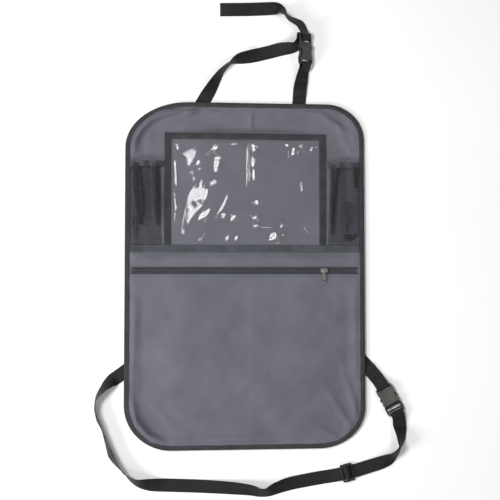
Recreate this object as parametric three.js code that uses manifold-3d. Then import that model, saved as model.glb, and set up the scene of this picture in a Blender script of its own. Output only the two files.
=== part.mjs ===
// A car seat back organizer, lying face up as it is laid out on a table.
// Millimetres. +X is to the right, +Y towards the headrest, +Z up from the table.
// The origin is the middle of the panel's back, on the table.

import * as THREE from "three";
import { mergeVertices } from "three/addons/utils/BufferGeometryUtils.js";
import Module from "manifold-3d";

const wasm = await Module();
wasm.setup();

// Clearance kept between two pieces that are sewn or pressed together
const gap = 0.3;

// The panel: its size at mid height, and how the hand-cut sheet narrows upwards and to the right
const panelWidth = 451;
const panelHeight = 651;
const sideTaper = 0.018;
const endTaper = 0.023;
const panelThickness = 1.2;
const corners = {
  topLeft: { across: 122, down: 86 },
  topRight: { across: 72, down: 68 },
  bottomLeft: { across: 90, down: 86 },
  bottomRight: { across: 86, down: 78 },
};
const cornerSteps = 8;

// The edge stands clear of the table on the binding, with a strap end under it
const edgeLiftFlat = 16;
const edgeLiftFall = 18;

// The fold left in the panel by its packing
const foldX = 12;
const foldHalfWidth = 7;
const foldHeight = 1.8;

// Binding tape, folded round the panel's edge
const bindingWidth = 9;
const bindingThickness = 0.6;
const sheetInset = 1.4;

// Clear tablet window and its binding
const windowLeft = -151;
const windowRight = 152.5;
const windowTop = 268;
const windowBindingWidth = 11.5;
const filmThickness = 0.5;
const filmRise = 0.9;
const filmPuff = 8.5;
const filmMouth = 6.5;
const filmRipple = 0.7;
const filmRippleLength = 46;

// Mesh side pockets
const meshTop = 214;
const meshThickness = 0.9;
const meshPuff = 11;
const meshPuffReach = 34;
const meshPleats = 2.5;
const meshPleatDepth = 2.1;
const elasticWidth = 9;
const elasticThickness = 1.1;

// Cross binding over the foot of the window and the mesh pockets
const crossY = 51.7;
const crossWidth = 13.6;

// Zip between the facing strip and the large pocket
const zipY = 10.9;
const zipBand = 13.8;
const zipTapeHeight = 4.1;
const zipTapeThickness = 0.5;
const zipTapeOverlap = 5;
const zipEndInset = 16.5;
const coilSlit = 1.4;
const coilWidth = 2.7;
const coilHeight = 1.6;
const toothPitch = 5;
const toothDepth = 0.7;

// Zip slider and its pull, shown at the slider's place in the photograph
const sliderX = 149.5;
const sliderLength = 13;
const sliderWidth = 9.4;
const sliderPlate = 0.7;
const bridgeRadius = 0.8;
const bridgeRise = 2.4;
const pullEyeRadius = 2.1;
const pullEyeWidth = 4.2;
const pullLength = 24;
const pullWidth = 8;
const pullThickness = 1.2;
const pullTilt = 3;

// Pocket cloth
const clothThickness = 0.8;
const pocketPuff = 6.5;
const pocketReach = 110;

// Webbing
const webbingWidth = 25;
const webbingThickness = 1.4;
const plyStep = webbingThickness + gap;

// Side release buckle for this webbing
const buckleWidth = 34;
const buckleThickness = 9.5;
const socketLength = 36;
const socketWall = 2.1;
const frameThickness = 4;
const frameLength = 20.5;
const barWidth = 3;
const barSlot = 4.5;
const turnRadius = 3.5;
const prongLength = 21;
const prongWidth = 4.2;

// Strap adjuster
const adjusterLength = 23;
const adjusterThickness = 2;
const adjusterTurn = 2.8;

// Heights that follow from the stack of layers
const strapTop = webbingThickness;
const bindingFoot = strapTop + gap;
const edgeLift = bindingFoot + bindingThickness + gap;
const panelEdgeTop = edgeLift + panelThickness;
const zipTapeTop = zipTapeHeight + zipTapeThickness;
const zipSeat = zipTapeTop + gap;
const meshFoot = crossY + 1;
const pocketTopY = zipY - zipBand / 2;
const facingFootY = zipY + zipBand / 2;

const colours = {
  cloth: 0x55565c,
  binding: 0x2b2d2e,
  webbing: 0x232526,
  film: 0xb9bcc2,
  mesh: 0x2c2d30,
  elastic: 0x3a3c3f,
  plastic: 0x1d1e1f,
  plasticGrey: 0x5d5b57,
  metal: 0xc4c4be,
};

function finish(colour, roughness = 0.8, metalness = 0) {
  return new THREE.MeshStandardMaterial({ color: colour, roughness, metalness });
}

function ramp(value) {
  return Math.min(1, Math.max(0, value));
}

function swell(value) {
  const t = ramp(value);
  return t * t * (3 - 2 * t);
}

function lerp(a, b, t) {
  return a + (b - a) * t;
}

// Values from a to b in even steps, both ends included.
function evenly(a, b, steps) {
  return Array.from({ length: steps + 1 }, (_, i) => lerp(a, b, i / steps));
}

// The nominal rectangle becomes the tapered panel.
function taper(x, y) {
  return [x * (1 - (sideTaper * y) / panelHeight), y * (1 - (endTaper * x) / panelWidth)];
}

// How far a rounded corner cuts into a row, for an outline drawn in by inset.
function cornerCut(y, inset, top, bottom) {
  const half = panelHeight / 2 - inset;
  const above = (y - half + top.down - inset) / (top.down - inset);
  const below = (bottom.down - inset - half - y) / (bottom.down - inset);
  if (above > 0) return (top.across - inset) * (1 - Math.sqrt(Math.max(0, 1 - above ** 2)));
  if (below > 0) return (bottom.across - inset) * (1 - Math.sqrt(Math.max(0, 1 - below ** 2)));
  return 0;
}

function leftEdge(y, inset = 0) {
  return -panelWidth / 2 + inset + cornerCut(y, inset, corners.topLeft, corners.bottomLeft);
}

function rightEdge(y, inset = 0) {
  return panelWidth / 2 - inset - cornerCut(y, inset, corners.topRight, corners.bottomRight);
}

// Distance from the panel's edge, measured along the row or the column.
function edgeDistance(x, y) {
  const half = panelHeight / 2;
  return Math.min(x - leftEdge(y), rightEdge(y) - x, half - y, y + half);
}

// The crease down the middle of the head end, between the window and the top binding.
function foldRidge(x, y) {
  const across = ramp(1 - Math.abs(x - foldX) / foldHalfWidth);
  const above = ramp((y - windowTop - 4) / 6);
  const below = ramp((panelHeight / 2 - bindingWidth - 8 - y) / 6);
  return foldHeight * across * above * below;
}

function panelTop(x, y) {
  const lifted = ramp((edgeLiftFlat + edgeLiftFall - edgeDistance(x, y)) / edgeLiftFall);
  return panelThickness + edgeLift * lifted;
}

// Turns a geometry that came out inside out.
function facingOut(geometry) {
  const p = geometry.getAttribute("position");
  const index = geometry.getIndex();
  const [a, b, c] = [new THREE.Vector3(), new THREE.Vector3(), new THREE.Vector3()];
  let volume = 0;
  for (let i = 0; i < index.count; i += 3) {
    a.fromBufferAttribute(p, index.getX(i));
    b.fromBufferAttribute(p, index.getX(i + 1));
    c.fromBufferAttribute(p, index.getX(i + 2));
    volume += a.dot(b.cross(c));
  }
  if (volume < 0) {
    for (let i = 0; i < index.count; i += 3) {
      const kept = index.getX(i + 1);
      index.setX(i + 1, index.getX(i + 2));
      index.setX(i + 2, kept);
    }
  }
  return geometry;
}

function indexed(positions, triangles) {
  const geometry = new THREE.BufferGeometry();
  geometry.setAttribute("position", new THREE.Float32BufferAttribute(positions, 3));
  geometry.setIndex(triangles);
  return geometry;
}

// A closed sheet over a grid: top points, the same points lowered by the thickness, and walls
// wherever a cell has no neighbour. open(i, j) leaves a cell out, as in a net.
function sheetGeometry(columns, rows, topPoint, thickness, open = () => false) {
  const positions = [];
  for (const drop of [0, thickness]) {
    for (let j = 0; j <= rows; j++) {
      for (let i = 0; i <= columns; i++) {
        const [x, y, z] = topPoint(i, j);
        positions.push(...taper(x, y), z - drop);
      }
    }
  }
  const layer = (columns + 1) * (rows + 1);
  const at = (i, j) => j * (columns + 1) + i;
  const solid = (i, j) => i >= 0 && j >= 0 && i < columns && j < rows && !open(i, j);
  const triangles = [];
  const quad = (a, b, c, d) => triangles.push(a, b, c, a, c, d);
  const wall = (a, b) => quad(a, a + layer, b + layer, b);
  for (let j = 0; j < rows; j++) {
    for (let i = 0; i < columns; i++) {
      if (!solid(i, j)) continue;
      const [a, b, c, d] = [at(i, j), at(i + 1, j), at(i + 1, j + 1), at(i, j + 1)];
      quad(a, b, c, d);
      quad(a + layer, d + layer, c + layer, b + layer);
      if (!solid(i, j - 1)) wall(a, b);
      if (!solid(i + 1, j)) wall(b, c);
      if (!solid(i, j + 1)) wall(c, d);
      if (!solid(i - 1, j)) wall(d, a);
    }
  }
  return facingOut(mergeVertices(indexed(positions, triangles), 1e-4));
}

// A skin over a row of equal sections, closed on itself or ended by flat caps. A crossed skin has a
// point in the middle of each even face, so that a thin twisted strip keeps its thickness.
function sweepGeometry(sections, closed, crossed = false) {
  const count = sections[0].length;
  const positions = sections.flat().flatMap((p) => [p.x, p.y, p.z]);
  const triangles = [];
  const spans = closed ? sections.length : sections.length - 1;
  for (let s = 0; s < spans; s++) {
    const from = s * count;
    const to = ((s + 1) % sections.length) * count;
    for (let k = 0; k < count; k++) {
      const next = (k + 1) % count;
      const corners = [from + k, from + next, to + next, to + k];
      if (crossed && k % 2 === 0) {
        const middle = positions.length / 3;
        for (const axis of [0, 1, 2]) {
          const sum = corners.reduce((total, c) => total + positions[3 * c + axis], 0);
          positions.push(sum / 4);
        }
        corners.forEach((c, m) => triangles.push(c, corners[(m + 1) % 4], middle));
      } else {
        const [a, b, c, d] = corners;
        triangles.push(a, b, c, a, c, d);
      }
    }
  }
  if (!closed) {
    const last = (sections.length - 1) * count;
    for (const [a, b, c] of capTriangles(sections[0])) triangles.push(a, c, b);
    for (const [a, b, c] of capTriangles(sections.at(-1))) {
      triangles.push(last + a, last + b, last + c);
    }
  }
  return facingOut(indexed(positions, triangles));
}

// Triangles over one flat section, wound as the section is.
function capTriangles(section) {
  const origin = section[0];
  const normal = new THREE.Vector3();
  section.forEach((p, k) => {
    const q = section[(k + 1) % section.length];
    normal.add(p.clone().sub(origin).cross(q.clone().sub(origin)));
  });
  normal.normalize();
  const u = new THREE.Vector3(0, 0, 1).cross(normal);
  if (u.length() < 0.1) u.set(1, 0, 0);
  u.normalize();
  const v = normal.clone().cross(u);
  const flat = section.map((p) => new THREE.Vector2(p.dot(u), p.dot(v)));
  return THREE.ShapeUtils.triangulateShape(flat, []);
}

// The middles of the panel's four sides
const left = -panelWidth / 2;
const right = panelWidth / 2;
const foot = -panelHeight / 2;
const head = panelHeight / 2;

const organizer = new THREE.Group();

function add(name, geometry, material, parent = organizer) {
  const mesh = new THREE.Mesh(geometry, material);
  mesh.name = name;
  parent.add(mesh);
  return mesh;
}

// Distances from an edge at which every sewn sheet has a line, so that stacked sheets fold alike
const edgeLines = [0, bindingWidth, edgeLiftFlat, edgeLiftFlat + edgeLiftFall];

// Heights of the rows: close together where the corners turn and the edge lifts.
function rowHeights(bottom, top, step) {
  const half = panelHeight / 2;
  const marks = [bottom, top];
  const cornerMarks = [2.5, 6, bindingWidth, 12, edgeLiftFlat, 24, edgeLiftFlat + edgeLiftFall, 48, 66, 86];
  for (const d of cornerMarks) marks.push(half - d, d - half);
  const middle = half - cornerMarks.at(-1);
  marks.push(...evenly(-middle, middle, Math.round((2 * middle) / step)));
  const kept = marks.filter((y) => y >= bottom && y <= top).sort((a, b) => a - b);
  return kept.filter((y, i) => i === 0 || y - kept[i - 1] > 0.5);
}

// Places across one row: the edge lines at both sides and even steps between them.
function rowPlaces(y, step, extra = []) {
  const from = leftEdge(y, sheetInset);
  const to = rightEdge(y, sheetInset);
  const inner = edgeLines.at(-1);
  const places = edgeLines.map((d) => from + Math.max(0, d - sheetInset));
  const steps = Math.round((panelWidth - 2 * inner) / step);
  const middle = evenly(from + inner, to - inner, steps).slice(1, -1);
  const ends = edgeLines.map((d) => to - Math.max(0, d - sheetInset)).reverse();
  return [...places, ...middle, ...extra, ...ends].sort((a, b) => a - b);
}

// The backing panel: one flat cloth whose edge is lifted by its binding.
function backPanel() {
  const rows = rowHeights(foot + sheetInset, head - sheetInset, 70);
  const fold = [foldX - foldHalfWidth, foldX, foldX + foldHalfWidth];
  const grid = rows.map((y) => rowPlaces(y, 56, fold));
  const top = (i, j) => {
    const [x, y] = [grid[j][i], rows[j]];
    return [x, y, panelTop(x, y) + foldRidge(x, y)];
  };
  return sheetGeometry(grid[0].length - 1, rows.length - 1, top, panelThickness);
}

// A point of the outline drawn in by inset, for a side, or a corner turned by an angle.
function cornerPoint(corner, signX, signY, angle, inset) {
  return [
    signX * (panelWidth / 2 - corner.across + (corner.across - inset) * Math.cos(angle)),
    signY * (panelHeight / 2 - corner.down + (corner.down - inset) * Math.sin(angle)),
  ];
}

// Stations round the panel, each a function that gives its point at an inset.
function outlineStations() {
  const quarter = evenly(0, Math.PI / 2, cornerSteps);
  const turn = (corner, signX, signY) => quarter.map(
    (angle) => (inset) => cornerPoint(corner, signX, signY, angle, inset),
  );
  const coverEnds = [-100, meshTop + 3, meshTop + 12];
  const rightSide = coverEnds.map((y) => (inset) => [right - inset, y]);
  const leftSide = coverEnds.map((y) => (inset) => [left + inset, y]).reverse();
  return [
    ...rightSide,
    ...turn(corners.topRight, 1, 1),
    ...turn(corners.topLeft, -1, 1).reverse(),
    ...leftSide,
    ...turn(corners.bottomLeft, -1, -1),
    ...turn(corners.bottomRight, 1, -1).reverse(),
  ];
}

// Underside of the binding's upper leg: over the bare panel, or over one more layer.
function coverHeight(y) {
  return panelEdgeTop + gap + (meshThickness + gap) * ramp((meshTop + 12 - y) / 9);
}

// A folded tape seen end on: two legs and the web that joins them, as inset and height pairs.
function foldedTape(width, low, high, thickness) {
  const round = thickness * 0.8;
  return [
    [0, low + round],
    [round, low],
    [width, low],
    [width, low + thickness],
    [thickness, low + thickness],
    [thickness, high - thickness],
    [width, high - thickness],
    [width, high],
    [round, high],
    [0, high - round],
  ];
}

function edgeBinding() {
  const sections = outlineStations().map((point) => {
    const high = coverHeight(point(0)[1]) + bindingThickness;
    return foldedTape(bindingWidth, bindingFoot, high, bindingThickness).map(([inset, z]) => {
      const [x, y] = taper(...point(inset));
      return new THREE.Vector3(x, y, z);
    });
  });
  return sweepGeometry(sections, true);
}

// The underside of the large pocket: cloth that swells between its sewn edges.
function pocketUnder(x, y) {
  const low = panelTop(x, y) + gap;
  const side = Math.min(x - leftEdge(y), rightEdge(y) - x) - bindingWidth - 2;
  const up = y - foot - bindingWidth - 2;
  const puff = pocketPuff * swell(side / pocketReach) * swell(up / pocketReach);
  const seat = lerp(panelEdgeTop + gap, zipSeat, ramp((edgeDistance(x, y) - bindingWidth - 0.5) / 6));
  return lerp(seat, low + puff, swell((pocketTopY - zipTapeOverlap - y) / 60));
}

function pocketPanel() {
  const rows = rowHeights(foot + sheetInset, pocketTopY - 40, 34);
  rows.push(pocketTopY - 24, pocketTopY - zipTapeOverlap, pocketTopY);
  const grid = rows.map((y) => rowPlaces(y, 34));
  const top = (i, j) => {
    const [x, y] = [grid[j][i], rows[j]];
    return [x, y, pocketUnder(x, y) + clothThickness];
  };
  return sheetGeometry(grid[0].length - 1, rows.length - 1, top, clothThickness);
}

// The strip of cloth between the cross binding and the zip.
function facingStrip() {
  const rows = [facingFootY, facingFootY + zipTapeOverlap, crossY - crossWidth / 2, crossY - 1];
  const grid = rows.map((y) => rowPlaces(y, 48));
  const top = (i, j) => {
    const [x, y] = [grid[j][i], rows[j]];
    const sewn = ramp((edgeDistance(x, y) - bindingWidth - 0.5) / 6);
    const seat = lerp(panelEdgeTop + gap, zipSeat, sewn);
    const high = ramp((crossY - crossWidth / 2 - y) / (crossWidth * 0.8));
    return [x, y, lerp(panelTop(x, y) + gap, seat, high) + clothThickness];
  };
  return sheetGeometry(grid[0].length - 1, rows.length - 1, top, clothThickness);
}

// The cross binding lies over the foot of the mesh and the film and the head of the facing strip.
function crossBinding() {
  const rows = evenly(crossY - crossWidth / 2, crossY + crossWidth / 2, 2);
  const places = rowPlaces(crossY, 48).slice(1, -1);
  places[0] += gap;
  places[places.length - 1] -= gap;
  const top = (i, j) => {
    const rise = panelTop(places[i], rows[j]) + 2 * gap + meshThickness;
    return [places[i], rows[j], rise + bindingThickness + (j === 1 ? 0.3 : 0)];
  };
  return sheetGeometry(places.length - 1, 2, top, bindingThickness);
}

// Places across the film, shared with the binding at its mouth
const filmLeft = windowLeft + windowBindingWidth / 2 + 1;
const filmRight = windowRight - windowBindingWidth / 2 - 1;
const filmSpan = [windowLeft + windowBindingWidth + 1, windowRight - windowBindingWidth - 1];
const filmPlaces = [filmLeft, ...evenly(...filmSpan, 20), filmRight];
const filmTop = windowTop - gap - bindingThickness;

// The film's own height above the panel: up at its mouth, swollen in the middle, rippled.
function filmUnder(x, y) {
  const up = ramp((y - meshFoot) / (filmTop - meshFoot));
  const across = swell((x - filmSpan[0]) / 90) * swell((filmSpan[1] - x) / 90);
  const along = swell((y - meshFoot - crossWidth / 2) / 70);
  const mouth = lerp(1, filmMouth / filmPuff, swell((y - filmTop + 60) / 60));
  const wave = Math.sin((x + 0.6 * y) / filmRippleLength * 2 * Math.PI);
  const wave2 = Math.cos((x - 0.9 * y) / (filmRippleLength * 1.4) * 2 * Math.PI);
  const puff = filmPuff * across * along * mouth;
  const still = ramp((filmTop - windowBindingWidth - y) / 30);
  return panelThickness + gap + filmRise * up + puff + filmRipple * across * along * still * (wave + wave2);
}

function windowFilm() {
  const rows = [meshFoot, crossY + crossWidth / 2 + 2];
  rows.push(...evenly(rows[1], filmTop - windowBindingWidth, 12).slice(1));
  rows.push(filmTop);
  const top = (i, j) => [filmPlaces[i], rows[j], filmUnder(filmPlaces[i], rows[j]) + filmThickness];
  return sheetGeometry(filmPlaces.length - 1, rows.length - 1, top, filmThickness);
}

// The binding folded over the mouth of the film.
function windowBindingTop() {
  const places = [windowLeft, ...filmPlaces, windowRight];
  const hem = windowTop - windowBindingWidth;
  const sections = places.map((x) => {
    const under = Math.min(filmUnder(x, filmTop), filmUnder(x, hem));
    const over = Math.max(filmUnder(x, filmTop), filmUnder(x, hem)) + filmThickness;
    const low = under - gap - bindingThickness;
    const high = over + gap + bindingThickness;
    return foldedTape(windowBindingWidth, low, high, bindingThickness).map(([inset, z]) => {
      const [px, py] = taper(x, windowTop - inset);
      return new THREE.Vector3(px, py, z);
    });
  });
  return sweepGeometry(sections, false);
}

// A side binding covers the edge of the film and the edge of the mesh beside it.
function windowBindingSide(x) {
  const rows = evenly(crossY + crossWidth / 2 + gap, windowTop - windowBindingWidth - gap, 8);
  const places = evenly(x, x + windowBindingWidth, 2);
  const top = (i, j) => {
    const up = ramp((rows[j] - meshFoot) / (filmTop - meshFoot));
    const rise = panelThickness + 2 * gap + meshThickness + filmRise * up;
    return [places[i], rows[j], rise + bindingThickness + (i === 1 ? 0.3 : 0)];
  };
  return sheetGeometry(2, rows.length - 1, top, bindingThickness);
}

// A mesh pocket from the panel's edge to the window's binding; side is -1 on the left.
function meshPlaces(side) {
  const outer = side < 0 ? leftEdge(crossY) + bindingWidth : rightEdge(crossY) - bindingWidth;
  const binding = side < 0 ? windowLeft : windowRight;
  const outerLines = [outer - side * -1, outer - side * gap];
  const innerLines = [binding + side * gap, binding - side * (windowBindingWidth / 2 - 1)];
  const middle = evenly(outerLines[1], innerLines[0], 14).slice(1, -1);
  return [...outerLines, ...middle, ...innerLines].sort((a, b) => a - b);
}

function meshUnder(x, y, places) {
  const low = panelTop(x, y) + gap;
  const [from, to] = [places[1], places.at(-2)];
  const u = ramp((x - from) / (to - from));
  const up = ramp((y - meshFoot) / (meshTop - meshFoot));
  const free = (y - crossY - crossWidth / 2 - gap) / meshPuffReach;
  const belly = Math.sin(Math.PI * u) ** 0.8 * swell(free) * lerp(1, 0.8, up);
  const pleat = Math.sin(2 * Math.PI * (meshPleats * u + 0.3 * up)) * Math.sin(Math.PI * u);
  return low + meshPuff * belly + meshPleatDepth * pleat * swell(free);
}

function meshPocket(side) {
  const places = meshPlaces(side);
  const mouth = crossY + crossWidth / 2 + gap;
  const rows = [meshFoot, mouth, mouth + 8, mouth + 17, mouth + 26];
  rows.push(...evenly(100, meshTop - elasticWidth, 5), meshTop - elasticWidth / 2, meshTop);
  const top = (i, j) => [places[i], rows[j], meshUnder(places[i], rows[j], places) + meshThickness];
  return sheetGeometry(places.length - 1, rows.length - 1, top, meshThickness);
}

function meshElastic(side) {
  const places = meshPlaces(side);
  const rows = [meshTop - elasticWidth, meshTop - elasticWidth / 2, meshTop, meshTop + 1.5];
  const held = places.slice(1, -1);
  const top = (i, j) => {
    const y = Math.min(rows[j], meshTop);
    const under = meshUnder(held[i], y, places) + meshThickness + gap;
    return [held[i], rows[j], under + elasticThickness];
  };
  return sheetGeometry(held.length - 1, rows.length - 1, top, elasticThickness);
}

// One zip tape; side is 1 above the coil and -1 below it.
function zipTape(side) {
  const inner = zipY + side * (coilSlit / 2 + coilWidth + gap);
  const outer = zipY + side * (zipBand / 2 + zipTapeOverlap);
  const ends = [leftEdge(zipY) + zipEndInset, rightEdge(zipY) - zipEndInset];
  const places = evenly(...ends, 10);
  const rows = [inner, outer].sort((a, b) => a - b);
  return sheetGeometry(10, 1, (i, j) => [places[i], rows[j], zipTapeTop], zipTapeThickness);
}

// One side of the coil: a bar whose inner edge is cut into teeth.
function zipCoil(side) {
  const start = leftEdge(zipY) + zipEndInset;
  const end = rightEdge(zipY) - zipEndInset;
  const teeth = Math.floor((end - start) / toothPitch);
  const inner = zipY + side * (coilSlit / 2);
  const outer = zipY + side * (coilSlit / 2 + coilWidth);
  const outline = new THREE.Shape();
  outline.moveTo(start, outer);
  outline.lineTo(end, outer);
  for (let k = teeth; k > 0; k--) {
    const shift = side > 0 ? 0 : toothPitch / 2;
    outline.lineTo(start + (k - 0.1) * toothPitch - shift / 2, inner);
    outline.lineTo(start + (k - 0.6) * toothPitch - shift / 2, inner + side * toothDepth);
  }
  outline.lineTo(start, inner + side * toothDepth);
  const bar = new THREE.ExtrudeGeometry(outline, { depth: coilHeight, bevelEnabled: false });
  bar.translate(0, 0, zipTapeHeight - gap);
  const straight = merged(bar);
  const p = straight.getAttribute("position");
  for (let i = 0; i < p.count; i++) {
    const [x, y] = taper(p.getX(i), p.getY(i));
    p.setXY(i, x, y);
  }
  return straight;
}

// Only positions, with shared vertices merged, so that the shape is closed.
function merged(geometry) {
  geometry.deleteAttribute("normal");
  geometry.deleteAttribute("uv");
  return mergeVertices(geometry, 1e-4);
}

function toSolid(geometry) {
  const shape = merged(geometry.clone());
  const vertProperties = new Float32Array(shape.getAttribute("position").array);
  const triVerts = new Uint32Array(shape.getIndex().array);
  return new wasm.Manifold(new wasm.Mesh({ numProp: 3, vertProperties, triVerts }));
}

function toGeometry(solid) {
  const mesh = solid.getMesh();
  return indexed(Array.from(mesh.vertProperties), Array.from(mesh.triVerts));
}

function block(x0, x1, y0, y1, z0, z1) {
  const box = new THREE.BoxGeometry(x1 - x0, y1 - y0, z1 - z0);
  box.translate((x0 + x1) / 2, (y0 + y1) / 2, (z0 + z1) / 2);
  return toSolid(box);
}

// A flat plate from an outline, from z0 to z1, with its upper and lower edges eased by a bevel.
function plate(points, z0, z1, bevel = 0) {
  const outline = new THREE.Shape(points.map(([x, y]) => new THREE.Vector2(x, y)));
  const depth = z1 - z0 - 2 * bevel;
  const options = {
    depth,
    bevelEnabled: bevel > 0,
    bevelSize: bevel,
    bevelThickness: bevel,
    bevelOffset: -bevel,
    bevelSegments: 1,
  };
  const body = new THREE.ExtrudeGeometry(outline, options);
  body.translate(0, 0, z0 + bevel);
  return toSolid(body);
}

// Both halves of an outline that is the same left and right, given its right half from foot to head.
function mirrored(half) {
  return [...half, ...half.map(([x, y]) => [-x, y]).reverse()];
}

// The socket half of the buckle: mouth at y = 0, webbing bar at its far end.
function buckleSocket() {
  const w = buckleWidth / 2;
  const h = buckleThickness / 2;
  const windowFrom = -prongLength - gap;
  const outline = mirrored([
    [w - 2.5, -socketLength],
    [w - 0.8, -socketLength + 2],
    [w - 0.4, windowFrom - 2],
    [w - 2.2, windowFrom + 2],
    [w - 3.6, windowFrom + 6],
    [w - 3.2, windowFrom + 10],
    [w - 0.6, windowFrom + 14],
    [w - 0.2, -2],
    [w - 1.4, 0],
  ]);
  const cavity = h - socketWall;
  const barInner = barWidth - socketLength;
  const slotEnd = barInner + barSlot;
  const reach = webbingWidth / 2 + 1;
  return plate(outline, -h, h, 1)
    .subtract(block(-w + 3.4, w - 3.4, slotEnd + 3.2, 1, -cavity, cavity))
    .subtract(block(-w - 1, w + 1, windowFrom, -7.5, -cavity, cavity))
    .subtract(block(-reach, reach, barInner, slotEnd, -h - 1, h + 1))
    .subtract(block(-reach, reach, -socketLength - 1, slotEnd, frameThickness / 2, h + 1))
    .subtract(block(-reach, reach, -socketLength - 1, slotEnd, -h - 1, -frameThickness / 2));
}

// The pronged half: a ladder of two bars, a guide tongue and two sprung arms with catches.
function bucklePlug() {
  const w = buckleWidth / 2;
  const h = frameThickness / 2;
  const frame = mirrored([
    [w - 1.2, gap],
    [w, 3],
    [w, frameLength - 5],
    [w - 2.5, frameLength],
  ]);
  const armIn = w - 3.8 - prongWidth;
  const arm = [
    [armIn, 1],
    [armIn + 1.2, -8],
    [armIn + 3.4, -prongLength],
    [w - 3.4, -prongLength],
    [w - 0.4, -prongLength + 5.5],
    [w + 0.4, -prongLength + 8.5],
    [w - 1.6, -prongLength + 11.4],
    [w - 4.6, -8],
    [w - 3.8, 1],
  ];
  const tongue = mirrored([
    [1.2, -prongLength + 2],
    [2, -prongLength + 4],
    [2.4, 1],
  ]);
  const prong = prongHeight();
  const mirroredArm = arm.map(([x, y]) => [-x, y]).reverse();
  const reach = webbingWidth / 2 + 1;
  const barFoot = nearBar - barWidth / 2;
  const slots = [barFoot - barSlot, barFoot + barWidth];
  let body = plate(frame, -h, h, 0.6)
    .add(plate(arm, -prong, prong))
    .add(plate(mirroredArm, -prong, prong))
    .add(plate(tongue, -prong, prong));
  for (const from of slots) {
    body = body.subtract(block(-reach, reach, from, from + barSlot, -h - 1, h + 1));
  }
  return body;
}

// Half the height of a prong inside the socket.
function prongHeight() {
  return Math.min(frameThickness / 2, buckleThickness / 2 - socketWall - gap);
}

// The adjuster: two outer bars over the webbing and a middle bar that the sewn end turns round.
function adjusterFrame() {
  const w = buckleWidth / 2;
  const half = adjusterLength / 2;
  const reach = webbingWidth / 2 + 1;
  const outline = mirrored([
    [w - 2, -half],
    [w, 2 - half],
    [w, half - 2],
    [w - 2, half],
  ]);
  const slot = (from, to) => block(-reach, reach, from, to, -adjusterThickness, adjusterThickness);
  return plate(outline, -adjusterThickness / 2, adjusterThickness / 2, 0.4)
    .subtract(slot(-half + barWidth, -barWidth / 2))
    .subtract(slot(barWidth / 2, half - barWidth));
}

// One place along a webbing: its middle, the direction across its width and the way it runs.
function place(position, across, ahead) {
  return { position, across, ahead };
}

// A route on the table, hand chosen as x, y and roll in degrees; the lower edge always rests on it.
function onTable(route, raise = 0, spacing = 9) {
  const line = new THREE.CatmullRomCurve3(
    route.map(([x, y, roll]) => new THREE.Vector3(x, y, roll)), false, "centripetal",
  );
  const spans = route.length - 1;
  const places = [];
  for (let s = 0; s < spans; s++) {
    const [x0, y0] = route[s];
    const [x1, y1] = route[s + 1];
    const steps = Math.max(1, Math.round(Math.hypot(x1 - x0, y1 - y0) / spacing));
    const last = s === spans - 1 ? steps : steps - 1;
    for (let k = 0; k <= last; k++) {
      const t = (s + k / steps) / spans;
      const p = line.getPoint(t);
      const ahead = line.getTangent(t).setZ(0).normalize();
      const roll = THREE.MathUtils.degToRad(lerp(route[s][2], route[s + 1][2], k / steps));
      const side = new THREE.Vector3(-ahead.y, ahead.x, 0);
      const across = side.multiplyScalar(Math.cos(roll)).setZ(Math.sin(roll));
      const lean = Math.abs(Math.sin(roll)) * webbingWidth / 2;
      const flat = Math.abs(Math.cos(roll)) * (webbingThickness / 2 + raise);
      places.push(place(new THREE.Vector3(p.x, p.y, lean + flat), across, ahead));
    }
  }
  return places;
}

// Places given in a fitting's own frame, as y and z pairs, with the width along its bars.
function inFitting(frame, pairs, sign) {
  const turn = new THREE.Matrix3().setFromMatrix4(frame);
  const across = new THREE.Vector3(sign, 0, 0).applyMatrix3(turn);
  const points = pairs.map(([y, z]) => new THREE.Vector3(0, y, z).applyMatrix4(frame));
  return points.map((point, k) => {
    const before = points[Math.max(0, k - 1)];
    const after = points[Math.min(points.length - 1, k + 1)];
    return place(point, across, after.clone().sub(before).normalize());
  });
}

// An arc of y and z pairs round a bar, with angles in degrees from +Y towards +Z.
function roundBar(y, z, radius, from, to, steps) {
  return evenly(from, to, steps).map((angle) => {
    const a = THREE.MathUtils.degToRad(angle);
    return [y + radius * Math.cos(a), z + radius * Math.sin(a)];
  });
}

// The same webbing laid back over itself: the places in reverse, moved off along their normals.
function foldedBack(places, distance) {
  return places.map(({ position, across, ahead }) => {
    const normal = ahead.clone().cross(across);
    const moved = position.clone().addScaledVector(normal, distance);
    return place(moved, across, ahead.clone().negate());
  }).reverse();
}

// The webbing's skin over its places: a flat section square to the way it runs.
function webbing(places) {
  const sections = places.map(({ position, across, ahead }) => {
    const normal = ahead.clone().cross(across);
    const corner = (u, v) => position.clone()
      .addScaledVector(across, (u * webbingWidth) / 2)
      .addScaledVector(normal, (v * webbingThickness) / 2);
    return [corner(-1, -1), corner(1, -1), corner(1, 1), corner(-1, 1)];
  });
  return sweepGeometry(sections, false, true);
}

// Where a fitting lies: the middle of its mouth, the way it points and its roll.
function fittingFrame(x, y, z, turnDegrees, rollDegrees = 0) {
  const turn = new THREE.Matrix4().makeRotationZ(THREE.MathUtils.degToRad(turnDegrees));
  const roll = new THREE.Matrix4().makeRotationY(THREE.MathUtils.degToRad(rollDegrees));
  return new THREE.Matrix4().makeTranslation(x, y, z).multiply(turn).multiply(roll);
}

function addFitting(name, solid, frame, material) {
  const mesh = add(name, toGeometry(solid), material);
  mesh.applyMatrix4(frame);
}

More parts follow.
